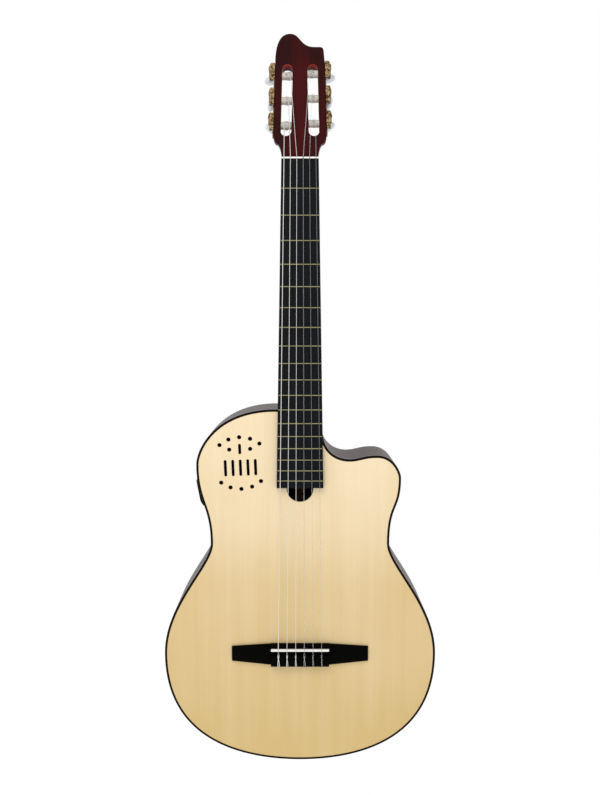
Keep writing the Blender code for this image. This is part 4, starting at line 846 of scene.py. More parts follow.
class ColourSettings(bpy.types.PropertyGroup):
    """Colours of the guitar's finishes."""

    # The pale and amber spruce are the wood's own tones and also painted light and shade: pale is painted
    # near the neck and amber near the tail.
    spruce_pale_and_lit: FloatVectorProperty(name="Pale spruce", description="Spruce near the neck",
                                     subtype="COLOR", default=(0.940, 0.770, 0.515))
    spruce_amber_and_shaded: FloatVectorProperty(name="Amber spruce", description="Spruce near the tail",
                                      subtype="COLOR", default=(0.695, 0.500, 0.205))
    spruce_line: FloatVectorProperty(name="Spruce line", description="Late wood of the spruce's rings",
                                     subtype="COLOR", default=(0.62, 0.40, 0.16))
    ring_pitch: FloatProperty(name="Ring pitch", description="Distance between the spruce's rings",
                              default=0.0016, unit="LENGTH")
    rosewood_dark: FloatVectorProperty(name="Dark rosewood", description="Ground of the ribs and back",
                                       subtype="COLOR", default=(0.020, 0.008, 0.006))
    rosewood_light: FloatVectorProperty(name="Light rosewood", description="Figure of the ribs and back",
                                        subtype="COLOR", default=(0.060, 0.026, 0.020))
    mahogany_dark: FloatVectorProperty(name="Dark mahogany", description="Ground of the stained neck",
                                       subtype="COLOR", default=(0.021, 0.0026, 0.0022))
    mahogany_light: FloatVectorProperty(name="Red mahogany", description="Figure of the stained neck",
                                        subtype="COLOR", default=(0.051, 0.0030, 0.0038))
    # Slot red is the slots' red stain with painted light on it.
    mahogany_slot_stain_and_light: FloatVectorProperty(name="Slot red", description="Bright stain inside the head's slots",
                                       subtype="COLOR", default=(0.44, 0.018, 0.008))
    brass: FloatVectorProperty(name="Brass", description="Plated brass of the machines",
                               subtype="COLOR", default=(0.50, 0.360, 0.200))


class BuildSoundbox(bpy.types.Operator):
    """Build the soundboard, back, ribs and bindings, and finish the wood inside"""

    bl_idname = "guitar.build_soundbox"
    bl_label = "Build Sound Box"

    def execute(self, context):
        """Carry the sections of the box along one fine edge line."""
        settings = context.scene.guitar_body
        line = body_edge()
        inward = side_normals(line)
        inner = line + inward * (BINDING_FACE + GAP)
        top = plate_mesh("soundboard_face", inner, [(0.0, TOP_Y), (0.0, TOP_Y + SOUNDBOARD)])
        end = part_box("fingerboard")[0].z
        moon_half = 0.0180
        moon = np.vstack([[(moon_half, end + 0.003), (-moon_half, end + 0.003)],
                          arc((0.0, end - 0.0021), moon_half, 180, 360, 49)])
        openings = [opening_tool(outline, settings.easing) for outline in port_outlines() + [moon]]
        top = carve(top, [joined("openings", openings)])
        add_piece("top_plate", top, ["spruce"], "guitar", ["soundboard"])
        back = plate_mesh("back_face", inner, [(0.0, off_back(BACK)), (0.0, off_back(0.0))])
        add_piece("rear_plate", back, ["back"], "guitar", ["back_plate"])

        radius = settings.rounding
        rounded = arc((radius, radius), radius, 180, 270, 7)
        front = [(inset, TOP_Y + drop) for inset, drop in rounded]
        front += [(BINDING_FACE, TOP_Y), (BINDING_FACE, TOP_Y + SOUNDBOARD), (RIB, TOP_Y + SOUNDBOARD),
                  (RIB, TOP_Y + BINDING), (0.0, TOP_Y + BINDING)]
        rear = [(inset, off_back(drop)) for inset, drop in rounded]
        rear += [(BINDING_FACE, off_back(0.0)), (BINDING_FACE, off_back(BACK)), (RIB, off_back(BACK)),
                 (RIB, off_back(BINDING)), (0.0, off_back(BINDING))]
        for name, section, node in (("front_binding", front, "binding_top"),
                                    ("rear_binding", rear, "binding_back")):
            strip = edge_strip(name, line, inward, section)
            add_piece(name, strip, ["binding"], "guitar", [node])

        tail = int(np.argmin(line[:, 1]))
        seam = BINDING + GAP / 3
        section = [(0.0, TOP_Y + seam), (0.0, off_back(seam)), (RIB, off_back(seam)), (RIB, TOP_Y + seam)]
        bass = edge_strip("bass_rib", line[:tail + 1], inward[:tail + 1], section)
        treble = edge_strip("treble_rib", line[tail:], inward[tail:], section)
        half_a, half_b = 0.0161, 0.0323
        window = slab((-half_a, half_a), (-half_b, half_b), (-0.009, 0.004))
        hole = rod("hole", 0.0061, -0.006, 0.004, pin_centre(), (0, 0, -1))
        bass = carve(bass, [window, hole])
        treble = carve(treble, [hole])
        add_piece("bass_rib", bass, ["rib"], "guitar", ["side_bass"])
        add_piece("treble_rib", treble, ["rib"], "guitar", ["side_treble"])
        for name in ("lining_top", "lining_back", "tail_block", "top_bracing", "back_bracing"):
            refinish(name, "cedar")
        return {"FINISHED"}


# Neck and head


def shaft_mesh():
    """The shaft and heel: a D section whose depth, width and squareness are functions of height.

    Across is half * |cos a| ** p and depth is depth * (sin a) ** q, for a from 0 to pi. Both powers
    fall towards the head, whose back is square. The heel's depth grows as a power of the way down
    it. It is cut off level with the back, and two columns of the grid follow the cut's edge.
    """
    heel_top = JOINT_Z + HEEL_LENGTH
    z = np.concatenate([np.linspace(HEAD_START.z + 0.007, -0.0300, 26),
                        np.linspace(-0.0370, heel_top + 0.0001, 32),
                        np.linspace(heel_top, JOINT_Z + GAP, 70)])[:, None]
    heel = np.maximum(0.0, (heel_top - z) / HEEL_LENGTH)
    depth = SHAFT_DEPTH + SHAFT_GAIN * z / JOINT_Z + HEEL_REACH * heel ** 2.4
    cap = back_y(JOINT_Z)
    edge = np.arcsin(np.minimum((cap - TOP_Y) / depth, math.cos(0.04)))
    side = np.linspace(0, 1, 23)[None, :]
    middle = np.linspace(0, 1, 7)[None, 1:-1]
    angle = np.concatenate([edge * side, edge + (np.pi - 2 * edge) * middle,
                            np.pi - edge * side[:, ::-1]], axis=1)
    square = np.clip(1 + z / SQUARE_RUN, 0, 1)
    square = square * square * (3 - 2 * square)
    half = NUT_HALF + (SHAFT_END_HALF - NUT_HALF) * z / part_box("fingerboard")[0].z
    y = np.minimum(TOP_Y + depth * np.sin(angle).round(6) ** (1 - 0.85 * square), cap)
    narrow = 1 - 0.55 * heel * (y - TOP_Y) / (cap - TOP_Y)
    across = np.cos(angle).round(6)
    x = np.sign(across) * half * np.abs(across) ** (0.8 + 0.75 * heel - 0.65 * square) * narrow
    return ring_mesh("shaft", grid(x, y, z))


def head_place(points):
    """World points of an array of (across, along, depth) places in the head's frame."""
    points = np.asarray(points, float)
    across = points[..., :1] * np.array((1.0, 0.0, 0.0))
    along = points[..., 1:2] * np.array(HEAD_ALONG)
    return across + np.array(HEAD_START) + along + points[..., 2:] * np.array(HEAD_BACK)


def head_coordinates(point):
    """(across, along, depth) of a world point in the head's frame."""
    offset = Vector(point) - HEAD_START
    return offset.x, offset.dot(HEAD_ALONG), offset.dot(HEAD_BACK)


def head_outline(lift):
    """The head's outline (x, along): flared, lifted shoulders, straight sides and an offset crest."""
    lower = NUT_HALF - GAP
    left = bezier_run([
        (-lower, 0.0, "v", 0.0, 0.70, 0),
        (-0.0300, 0.0155 + lift, "h", 0.30, 0.45, 4),
        (-HEAD_SHOULDER_HALF, HEAD_SHOULDER, "v", 0.55, 0.0, 4),
    ])
    crest = bezier_run([
        (-HEAD_SIDE_END_HALF, HEAD_SIDE_END, "v", 0.0, 0.55, 0),
        (-0.0132, 0.1742, "h", 0.75, 0.45, 9),
        (0.0190, 0.1552, "h", 0.60, 0.0, 8),
        (0.0265, 0.1552, "h", 0.0, 0.75, 1),
        (0.0316, 0.1470, "v", 0.60, 0.0, 4),
        (HEAD_SIDE_END_HALF, HEAD_SIDE_END, "v", 0.0, 0.0, 1),
    ])
    right = left[::-1] * (-1, 1)
    return np.vstack([left, crest, right])


def head_half(along):
    """Half width of the head along its straight sides."""
    share = (along - HEAD_SHOULDER) / (HEAD_SIDE_END - HEAD_SHOULDER)
    return HEAD_SHOULDER_HALF + (HEAD_SIDE_END_HALF - HEAD_SHOULDER_HALF) * share


Machine = namedtuple("Machine", "string side roller shaft")


def machines():
    """Each string's number and side, with its roller's and its shaft's place in the head's frame."""
    rows = []
    for string in range(1, 7):
        roller = head_coordinates(joint(f"roller_{string}_turn")[0])
        shaft = head_coordinates(joint(f"tuning_shaft_{string}_turn")[0])
        rows.append(Machine(string, 1 if string <= 3 else -1, roller, shaft))
    return rows


class BuildNeck(bpy.types.Operator):
    """Build the neck with its heel and slotted head"""

    bl_idname = "guitar.build_neck"
    bl_label = "Build Neck"

    def execute(self, context):
        """Join shaft, foot and head, then cut the nut's seat, the slots and the roller holes."""
        front, rear = (rounded_slab(head_outline(lift), 0.0, HEAD_THICKNESS, 0.0013)
                       for lift in SHOULDER_LIFT)
        head = ring_mesh("head", head_place(front + (rear - front) * front[..., 2:] / HEAD_THICKNESS))
        neck = carve(shaft_mesh(), [head, self.foot_mesh()], "UNION")
        seat = box_mesh((-0.036, NUT_TOP - 0.002, -0.001), (0.036, TOP_Y + GAP / 3, 0.0035 + GAP))
        slots = [self.slot_tool(side) for side in (-1, 1)]
        holes = []
        for machine in machines():
            start = head_place((machine.side * 0.0052, *machine.roller[1:]))
            holes.append(rod("hole", ROLLER_RADIUS + GAP, 0.0, 0.0350, start, (machine.side, 0, 0), 40))
        neck = carve(neck, [joined("neck_tools", [seat, *slots]), joined("holes", holes)])
        add_piece("carved_neck", neck, ["neck"], "guitar", ["neck"], 40.0)
        return {"FINISHED"}

    def foot_mesh(self):
        """The foot inside the box: a T seen from the front, between the two plates."""
        web, foot, step, low = 0.0090, 0.0260, JOINT_Z - RIB - GAP, JOINT_Z - 0.0320
        right = np.array([(foot, low), (foot, step), (web, step), (web, JOINT_Z + 0.0046)])
        outline = np.vstack([right[::-1] * (-1, 1), right])
        return plate_mesh("foot", outline, [(0.0, TOP_Y + SOUNDBOARD + GAP), (0.0, off_back(BACK + GAP))])

    def slot_tool(self, side):
        """A cutter for one slot of the head: it leans with the head's side and flares at both faces."""
        off_centre, low, high, width = 0.0184, 0.0296, 0.1306, 0.0140
        slot = slit(0.0, low, high, width, 25)
        slot[:, 0] += side * (off_centre - (HEAD_SHOULDER_HALF - head_half(slot[:, 1])))
        flare, rear = 0.0030, HEAD_THICKNESS - SLOT_EASE
        levels = [(-flare, SLOT_EASE - flare), (0.0, SLOT_EASE), (0.0, rear), (-flare, rear + flare)]
        return ring_mesh("slot", head_place(outline_rings(slot, levels)))


# Fingerboard, frets and nut


class BuildFingerboard(bpy.types.Operator):
    """Build the fingerboard, the frets, the nut and the saddle"""

    bl_idname = "guitar.build_fingerboard"
    bl_label = "Build Fingerboard"

    def execute(self, context):
        """Carry rounded sections along the board, across the frets, the nut and the saddle."""
        low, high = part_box("fingerboard")
        ease = 0.0008
        corner = arc((-ease, ease), ease, 270, 360, 6)
        z = np.linspace(high.z + NUT_REBATE, low.z, 60)
        half = NUT_HALF + (high.x - NUT_HALF) * z / low.z
        right = [(half + a, b) for a, b in corner] + [(half, high.y)]
        ring = [(-x, y) for x, y in right] + right[::-1]
        rings = np.stack([grid(x, y, z) for x, y in ring], axis=1)
        add_piece("board", ring_mesh("board", rings), ["ebony"], "guitar", ["fingerboard"])
        for number in range(1, FRET_COUNT + 1):
            self.build_fret(f"fret_{number:02d}")
        grooves = [(string_x(string, STEP_AT_NUT), STRING_RADII[string - 1]) for string in range(1, 7)]
        self.build_bar("nut", 0.0004, grooves, 0.35, NUT_REBATE)
        self.build_bar("saddle", 0.0007)
        return {"FINISHED"}

    def build_fret(self, node):
        """A half-round fret: its crown drops in a quarter ellipse over the last 0.6 mm at each end."""
        low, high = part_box(node)
        middle = (low.z + high.z) / 2
        half_width = (high.z - low.z) / 2
        height = -low.y
        end = np.sin(np.linspace(0.04, np.pi / 2, 9))
        reach = 0.0006 * (1 - np.cos(np.arcsin(end)))
        x = np.concatenate([low.x + reach, high.x - reach[::-1]])
        swell = np.concatenate([end, end[::-1]])
        turn = np.linspace(0, np.pi, 13)
        y = -height * np.sin(turn) * swell[:, None]
        z = middle + half_width * np.cos(turn) * (0.55 + 0.45 * swell[:, None])
        ring_y = np.hstack([y, np.full((len(x), 2), 0.0006)])
        ring_z = np.hstack([z, z[:, -1:], z[:, :1]])
        mesh = ring_mesh(node, grid(x[:, None], ring_y, ring_z))
        add_piece(node.replace("fret", "crown"), mesh, ["fret"], "guitar", [node], 50.0)

    def build_bar(self, node, radius, grooves=(), share=0.0, rebate=0.0):
        """A bone bar with rounded edges; its top dips by a share of a half circle in each groove."""
        low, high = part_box(node)
        low.z += rebate
        x = np.linspace(low.x, high.x, 241)
        dip = np.zeros_like(x)
        for place, size in grooves:
            circle = np.sqrt(np.maximum(0.0, (1.25 * size) ** 2 - (x - place) ** 2))
            dip = np.maximum(dip, circle * share)
        ends = np.clip(np.minimum(x - low.x, high.x - x) / 0.0006, 0.0, 1.0)
        dip = dip + 0.0005 * (1 - np.sqrt(1 - (1 - ends) ** 2))
        crown = np.vstack([arc((high.z - radius, low.y + radius), radius, 0, -90, 6),
                           arc((low.z + radius, low.y + radius), radius, -90, -180, 6)])
        ring_y = np.hstack([crown[:, 1] + dip[:, None], np.full((len(x), 2), high.y)])
        mesh = ring_mesh(node, grid(x[:, None], ring_y, np.append(crown[:, 0], [low.z, high.z])))
        add_piece(f"{node}_bar", mesh, ["bone"], "guitar", [node])


# Bridge


class BuildBridge(bpy.types.Operator):
    """Build the bridge with its wings, saddle slot and tie block"""

    bl_idname = "guitar.build_bridge"
    bl_label = "Build Bridge"

    def execute(self, context):
        """Carry the block's profile across, loft the wings, and cut the slot and the tie holes."""
        block_half, half = 0.0395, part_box("bridge")[1].x
        edge, round_off, ease = 0.0007, 0.0016, 0.0004
        profile = np.vstack([
            [(0.0065, BRIDGE_BASE), (0.0065, BRIDGE_BASE - 0.0035)],
            arc((0.0042, BRIDGE_TOP + edge), edge, 300, 270, 4),
            [(-0.0026, BRIDGE_TOP), (-0.0026, BRIDGE_BASE - 0.0040)],
            arc((-0.0046, BRIDGE_BASE - 0.0050), 0.0020, 90, 130, 4),
            [(BLOCK_FRONT, BRIDGE_BASE - 0.0030), (BLOCK_FRONT, BRIDGE_TOP + edge)],
            arc((BLOCK_FRONT - edge, BRIDGE_TOP + edge), edge, 0, -90, 5),
            arc((BLOCK_REAR + round_off, BRIDGE_TOP + round_off), round_off, 270, 180, 6),
            [(BLOCK_REAR, BRIDGE_BASE)],
        ])
        x = np.array([-block_half, -block_half + ease, block_half - ease, block_half])
        drop = np.array([ease, 0.0, 0.0, ease])
        y = np.minimum(profile[:, 1] + drop[:, None] * (profile[:, 1] < BRIDGE_BASE), BRIDGE_BASE)
        block = ring_mesh("block", grid(x[:, None], y, SADDLE_Z + profile[:, 0]))
        bridge = carve(block, [self.wing(side, block_half - 0.004, half) for side in (-1, 1)], "UNION")
        low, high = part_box("saddle")
        slack = GAP / 2
        tools = [box_mesh((low.x - slack, BRIDGE_TOP - 0.002, low.z - slack),
                          (high.x + slack, high.y + GAP, high.z + slack))]
        for string in range(1, 7):
            centre = (string_x(string, STEP_AT_BRIDGE), TIE_HOLE, SADDLE_Z)
            tools.append(rod("tie_hole", 0.0011, BLOCK_REAR - 0.002, -0.0065, centre, (0, 0, 1), 20))
        bridge = carve(bridge, [joined("bridge_tools", tools)])
        add_piece("tie_bridge", bridge, ["bridge"], "guitar", ["bridge"])
        return {"FINISHED"}

    def wing(self, side, inner, outer):
        """A wing: a low crowned section that thins, narrows and rounds over towards its end."""
        t = np.append(np.linspace(0.0, 0.97, 24), [0.985, 0.995, 1.0])[:, None]
        x = inner + (outer - inner) * t
        high = 0.0064 + (0.0027 - 0.0064) * t
        low = -0.0234 + (-0.0175 + 0.0234) * t
        tip = np.clip((1.0 - t) / 0.03, 0.0, 1.0)
        lift = 0.0042 * (1 - 0.25 * t) * (0.55 + 0.45 * np.sqrt(1 - (1 - tip) ** 2))
        turn = np.linspace(0, np.pi, 17)[None, :]
        z = (high + low) / 2 + (high - low) / 2 * np.cos(turn)
        y = BRIDGE_BASE - lift * (0.72 * (np.sin(turn) > 1e-6) + 0.28 * np.sin(turn))
        first, last = (grid(side * x, BRIDGE_BASE, SADDLE_Z + end) for end in (high, low))
        rings = grid(side * x, y, SADDLE_Z + z)
        return ring_mesh("wing", np.concatenate([first, rings[:, 1:-1], last], axis=1))


# Strings


def string_x(string, step):
    """Across place of a string where neighbouring strings are a step apart."""
    return (3.5 - string) * step


def smooth_route(points):
    """A rounded line: each corner of a route becomes six points of a quadratic B-spline."""
    points = np.asarray(points, float)
    middles = (points[:-1] + points[1:]) / 2
    t = np.linspace(0, 1, 6, endpoint=False)[:, None]
    runs = [points[:1]]
    for a, corner, b in zip(middles[:-1], points[1:-1], middles[1:]):
        runs.append((1 - t) ** 2 * a + 2 * t * (1 - t) * corner + t ** 2 * b)
    return np.vstack(runs + [middles[-1:], points[-1:]])


def tube(name, line, radius):
    """A tube round a line: rings in a frame carried along without twist, with domed ends.

    The UV map holds the angle round the tube, as 0 to 1, and the distance along it.
    """
    keep = np.concatenate([[True], np.linalg.norm(np.diff(line, axis=0), axis=1) > 1e-6])
    line = line[keep]
    slope = np.gradient(line, axis=0)
    slope /= np.linalg.norm(slope, axis=1)[:, None]
    first = np.zeros_like(line)
    guide = np.cross(slope[0], (0.2, 0.1, 0.97) if abs(slope[0][0]) > 0.5 else (1.0, 0.0, 0.0))
    for i, direction in enumerate(slope):
        guide = guide - direction * guide.dot(direction)
        guide /= np.linalg.norm(guide)
        first[i] = guide
    second = np.cross(slope, first)
    turn = full_turn(12)
    spoke = np.cos(turn)[:, None] * first[:, None] + np.sin(turn)[:, None] * second[:, None]
    dome = np.array([0.25, 0.75])[:, None]
    shrink = (radius * np.sqrt(1 - dome ** 2))[:, None]
    head = (line[0] - slope[0] * radius * dome[::-1])[:, None] + spoke[:1] * shrink[::-1]
    foot = (line[-1] + slope[-1] * radius * dome)[:, None] + spoke[-1:] * shrink
    rings = np.concatenate([head, line[:, None] + spoke * radius, foot])
    along = lengths(rings.mean(axis=1))
    return ring_mesh(name, rings, grid(turn / (2 * np.pi), along[:, None]))


class BuildStrings(bpy.types.Operator):
    """Build the six strings with their ties at the bridge and their turns at the rollers"""

    bl_idname = "guitar.build_strings"
    bl_label = "Build Strings"

    def execute(self, context):
        """Carry a round section along each string's whole route."""
        for machine in machines():
            self.build(machine)
        return {"FINISHED"}

    def tie(self, string, x, radius):
        """The tie: through the hole, back over the block, round the string and under its own loop.

        The third string's loose end hangs over the block's rear edge.
        """
        hole, rear, front = TIE_HOLE, SADDLE_Z + BLOCK_REAR, SADDLE_Z + BLOCK_FRONT
        over = BRIDGE_TOP - radius - 0.0001
        side = 1.45 * radius
        lead = front + 0.0016
        climb = hole + 0.30 * (SADDLE_TOP - hole)
        loose = []
        if string == 3:
            loose = [(x + 0.0026, BRIDGE_BASE - 0.0006, rear - 0.0060),
                     (x + 0.0012, BRIDGE_BASE - 0.0045, rear - 0.0022)]
        return [
            *loose,
            (x + 2.6 * radius, over - 0.2 * radius, rear + 0.0010),
            (x + 2.3 * radius, over, rear + 0.0042),
            (x + 1.6 * radius, over, rear + 0.0085),
            (x - side, over, front - 0.0010),
            (x - side, over + 0.8 * radius, front + 0.0009),
            (x - 0.6 * side, climb + 2.6 * radius, lead),
            (x + side, climb + 2.2 * radius, lead + 0.0001),
            (x + side, over + 0.9 * radius, front + 0.0010),
            (x + side, over, front - 0.0012),
            (x - 0.8 * radius, over, rear + 0.0095),
            (x - 1.2 * radius, over, rear + 0.0030),
            (x - 0.8 * radius, over + 0.0004, rear + 0.0001),
            (x - 0.4 * radius, over + 0.0020, rear - radius - 0.0004),
            (x, hole - 0.0012, rear - radius - 0.0004),
            (x, hole, rear - 0.0002),
            (x, hole, rear + 0.0030),
            (x, hole, front - 0.0030),
            (x, hole, front + 0.0002),
        ]

    def build(self, machine):
        """One string from its tie, over saddle and nut, to the turns on its roller.

        It leaves the nut at a tangent to the roller and goes on round it as a helix.
        """
        string, side = machine.string, machine.side
        radius = STRING_RADII[string - 1]
        x = string_x(string, STEP_AT_BRIDGE)
        at_nut = string_x(string, STEP_AT_NUT)
        contact = SADDLE_TOP - 0.85 * radius
        ends = [
            (x, SADDLE_TOP + 0.0008, SADDLE_Z - 0.0020),
            (x, contact, SADDLE_Z - 0.0007),
            (x, contact, SADDLE_Z + 0.0008),
        ]
        behind = smooth_route(self.tie(string, x, radius) + ends)
        bed = NUT_TOP - 0.55 * radius
        order = string - 1 if string <= 3 else 6 - string
        landing = side * (0.0206, 0.0150, 0.0128)[order]
        spread = -side if order == 0 else side
        wound = ROLLER_RADIUS + radius + 0.0001
        centre = machine.roller[1:]
        leave = head_coordinates((at_nut, bed, 0.0032))
        away = (leave[1] - centre[0], leave[2] - centre[1])
        start = math.atan2(away[1], away[0]) + math.acos(wound / math.hypot(*away))
        turns, slack = 3.4, 0.0004
        turn = np.linspace(0, turns, 150)
        angle = start + 2 * np.pi * turn
        across = landing + spread * (2 * radius + slack) * turn
        coil = head_place(grid(across, centre[0] + wound * np.cos(angle), centre[1] + wound * np.sin(angle)))
        middle = np.linspace((x, contact, SADDLE_Z + 0.0012), (at_nut, bed, 0.0002), 24)
        over_nut = [(at_nut, bed, 0.0012), (at_nut, bed, 0.0024), (at_nut, bed + 0.0002, 0.0034)]
        onward = np.linspace(over_nut[-1], coil[0], 8)[1:-1]
        line = np.vstack([behind[:-1], middle, over_nut, onward, coil])
        finish, slot = ("nylon", "nylon_string") if string <= 3 else ("wound", "wound_string")
        add_piece(f"course_{string}", tube(f"string_{string}", line, radius), [finish], "guitar",
                  [f"string_{string}"], 60.0)


# Tuning machines


class BuildMachines(bpy.types.Operator):
    """Build the plates, rollers, gears, worms and buttons of the tuning machines"""

    bl_idname = "guitar.build_machines"
    bl_label = "Build Tuning Machines"

    def execute(self, context):
        """Build each roller and each shaft, then the two plates."""
        rows = machines()
        for machine in rows:
            self.build_roller(machine)
            self.build_shaft(machine)
        self.build_plate("machine_plate_treble", rows[:3])
        self.build_plate("machine_plate_bass", rows[3:])
        return {"FINISHED"}

    def build_roller(self, machine):
        """A white roller with eased ends and a string hole, its spindle, gear wheel and screw."""
        string, side = machine.string, machine.side
        gear, along, depth = machine.roller
        axis = (side, 0, 0)
        low, high = 0.0055, head_half(along) - 0.0006
        centre = head_place((0.0, along, depth))
        r, e = ROLLER_RADIUS, 0.0005
        barrel = [(r - 3 * e, low), (r - e, low + 0.2 * e), (r, low + e), (r, high - e), (r - e, high)]
        barrel.append((0.0022, high))
        middle = head_place((side * 0.0178, along, depth))
        drum = carve(turned("drum", barrel, centre, axis, 56),
                     [rod("bore", 0.0009, -0.008, 0.008, middle, HEAD_BACK, 16)])
        outer = abs(gear)
        spindle = rod("spindle", 0.0020, high - 0.001, outer - 0.0012, centre, axis, 28)
        wheel = self.gear_mesh(side, along, depth, outer)
        screw = [(0.0026, outer + 0.0014), (0.0026, outer + 0.0019), (0.0022, outer + 0.0022),
                 (0.0006, outer + 0.00225)]
        cut = Vector(head_place((side * (outer + 0.0023), along, depth)))
        reach = Vector((0.0005, 0.0032, 0.00028))
        screw = carve(turned("screw", screw, centre, axis, 28), [box_mesh(cut - reach, cut + reach)])
        mesh = joined(f"roller_{string}", [drum, spindle, wheel, screw], [0, 1, 2, 1])
        add_piece(f"drum_{string}", mesh, ["roller", "steel", "gilt"], f"roller_{string}",
                  [f"roller_{string}"], 38.0)

    def gear_mesh(self, side, along, depth, outer):
        """A gear wheel: the rim's radius is a rounded square wave of the angle, faces have a dished web.

        Each row of the profile is a share of the rim's radius, a level and a radius of its own.
        """
        turn = full_turn(GEAR_TEETH * 12)
        wave = np.clip(np.cos(turn * GEAR_TEETH) * 1.7 + 0.1, -1, 1) * 0.5 + 0.5
        rim = 0.0050 + 0.00128 * wave
        half = 0.0015
        profile = np.array([(0.0, half - 0.0001, 0.0021), (0.0, half - 0.0001, 0.0026),
                            (0.0, half - 0.0006, 0.0031), (0.0, half - 0.0006, 0.0042),
                            (0.0, half, 0.0045), (0.97, half, 0.0), (1.0, half - 0.0002, 0.0)])
        share, level, radius = np.vstack([profile, profile[::-1] * (1, -1, 1)]).T[..., None]
        size = rim * share + radius
        places = grid(side * (outer + level), along + size * np.cos(turn), depth + size * np.sin(turn))
        return ring_mesh("gear", head_place(places))

    def build_shaft(self, machine):
        """A shaft along the head's depth: worm thread, stem, brass collar and pearly button.

        The worm's radius falls off on both sides of a helix, and towards both ends of the thread.
        """
        string = machine.string
        across, along, depth = machine.shaft
        m = np.linspace(-WORM_HALF, WORM_HALF, 97)[:, None]
        phase = (m / GEAR_PITCH + WORM_TURNS / 2 - full_turn(32) / (2 * np.pi) + 0.5) % 1.0 - 0.5
        ridge = np.clip(1 - np.abs(phase) * GEAR_PITCH / 0.00058, 0, 1)
        fade = np.clip((WORM_HALF - np.abs(m)) / 0.0006, 0, 1)
        worm = self.round_form(across, along, depth + m, 0.0018 + 0.00092 * ridge * fade)
        stem = np.array([(-WORM_HALF - 0.0028, 0.0009), (-WORM_HALF - 0.0027, 0.0014),
                         (-WORM_HALF - 0.0001, 0.0015), (WORM_HALF, 0.0015), (0.0172, 0.0015),
                         (0.0174, 0.0022), (0.0186, 0.0026), (0.0196, 0.0026), (0.0202, 0.0021),
                         (0.0206, 0.0021), (0.0209, 0.0015)])
        stem = self.round_form(across, along, depth + stem[:, :1], stem[:, 1:])
        button = self.button_mesh(across, along, math.radians(BUTTON_TURNS[string - 1]))
        mesh = joined(f"shaft_{string}", [worm, stem, button], [0, 0, 1])
        add_piece(f"key_{string}", mesh, ["gilt", "pearl"], f"tuning_shaft_{string}",
                  [f"tuning_shaft_{string}"], 40.0)

    def round_form(self, across, along, depths, size):
        """Rings round the shaft's axis; the angle runs from down the head towards -X."""
        phi = full_turn(32)
        places = grid(across - size * np.sin(phi), along - size * np.cos(phi), depths)
        return ring_mesh("round", head_place(places))

    def button_mesh(self, across, along, turned_by):
        """A flat oval button: its half width and thickness follow a swelling curve of the length.

        Round the shaft both go as the cosine or the sine of an angle to a power just under one.
        """
        t = (1 - np.cos(np.linspace(0, np.pi, 41)))[:, None] / 2
        neck = 0.0025 * (1 - t) ** 2
        swell = np.sin(np.pi * t ** 0.80) ** 0.62
        wide = 0.0082 * swell + neck + 0.00005
        thick = 0.0037 * swell ** 1.15 + 0.9 * neck + 0.00005
        phi = full_turn(48)
        a = wide * np.sign(np.cos(phi)) * np.abs(np.cos(phi)) ** 0.88
        b = thick * np.sign(np.sin(phi)) * np.abs(np.sin(phi)) ** 0.88
        c, s = math.cos(turned_by), math.sin(turned_by)
        places = grid(across + a * c - b * s, along + a * s + b * c, 0.0270 + 0.0180 * t)
        return ring_mesh("button", head_place(places))

    def build_plate(self, node, rows):
        """A wavy-edged brass strip with rounded posts round each worm, and screws between them."""
        side = rows[0].side
        depth = rows[0].roller[2]
        alongs = [machine.roller[1] for machine in rows]
        first, last = min(alongs), max(alongs)
        low, high = first - 0.016, last + 0.016
        t = np.linspace(low, high, 121)
        wave = 0.0012 * np.cos(2 * np.pi * (t - first) / 0.035)
        end = np.clip(np.minimum(t - low, high - t) / 0.0065, 0, 1)
        half = (0.0075 + wave) * (0.55 + 0.45 * np.sin(end * np.pi / 2))
        middle = depth + 0.0015
        outline = np.vstack([grid(t, middle - half), grid(t, middle + half)[::-1]])
        rings = rounded_slab(outline, GAP / 3, GAP + PLATE, 0.0003, 3)
        x = side * (head_half(rings[..., 0]) + rings[..., 2])
        plate = ring_mesh("plate", head_place(grid(x, rings[..., 0], rings[..., 1])))
        tools, posts, screws = [], [], []
        for machine, along in zip(rows, alongs):
            across, worm_along, worm_depth = machine.shaft
            for sign in (-1, 1):
                near = worm_depth + sign * (WORM_HALF + GAP)
                far = near + sign * 0.0022
                posts.append(self.post_mesh(side, abs(across), worm_along, min(near, far), max(near, far)))
            reach = WORM_HALF + 0.0052
            tools.append(rod("shaft_bore", 0.0017, -reach, reach, head_place(machine.shaft), HEAD_BACK, 24))
            wall = head_half(along)
            centre = head_place((0.0, along, depth))
            tools.append(rod("spindle_bore", 0.0023, wall - 0.002, wall + 0.004, centre, (side, 0, 0), 24))
        plate = carve(plate, [joined("posts", posts)], "UNION")
        plate = carve(plate, [joined("bores", tools)])
        for along, off in ((low + 0.0052, 0.0062), (first + 0.0245, 0.0062), (last - 0.0105, 0.0015),
                           (high - 0.0052, 0.0015)):
            wall = head_half(along) + GAP + PLATE
            dome = [(0.0017, wall - 0.0001), (0.0016, wall + 0.0003), (0.0011, wall + 0.0006),
                    (0.0003, wall + 0.0007)]
            centre = head_place((0.0, along, depth + off))
            screws.append(turned("screw", dome, centre, (side, 0, 0), 20))
        covers = [self.cover_mesh(side, along) for along in alongs]
        mesh = joined(node, [plate] + covers + screws, [0] * (1 + len(covers)) + [1] * len(screws))
        add_piece(node.replace("machine", "brass"), mesh, ["brass", "steel"], "guitar", [node], 38.0)

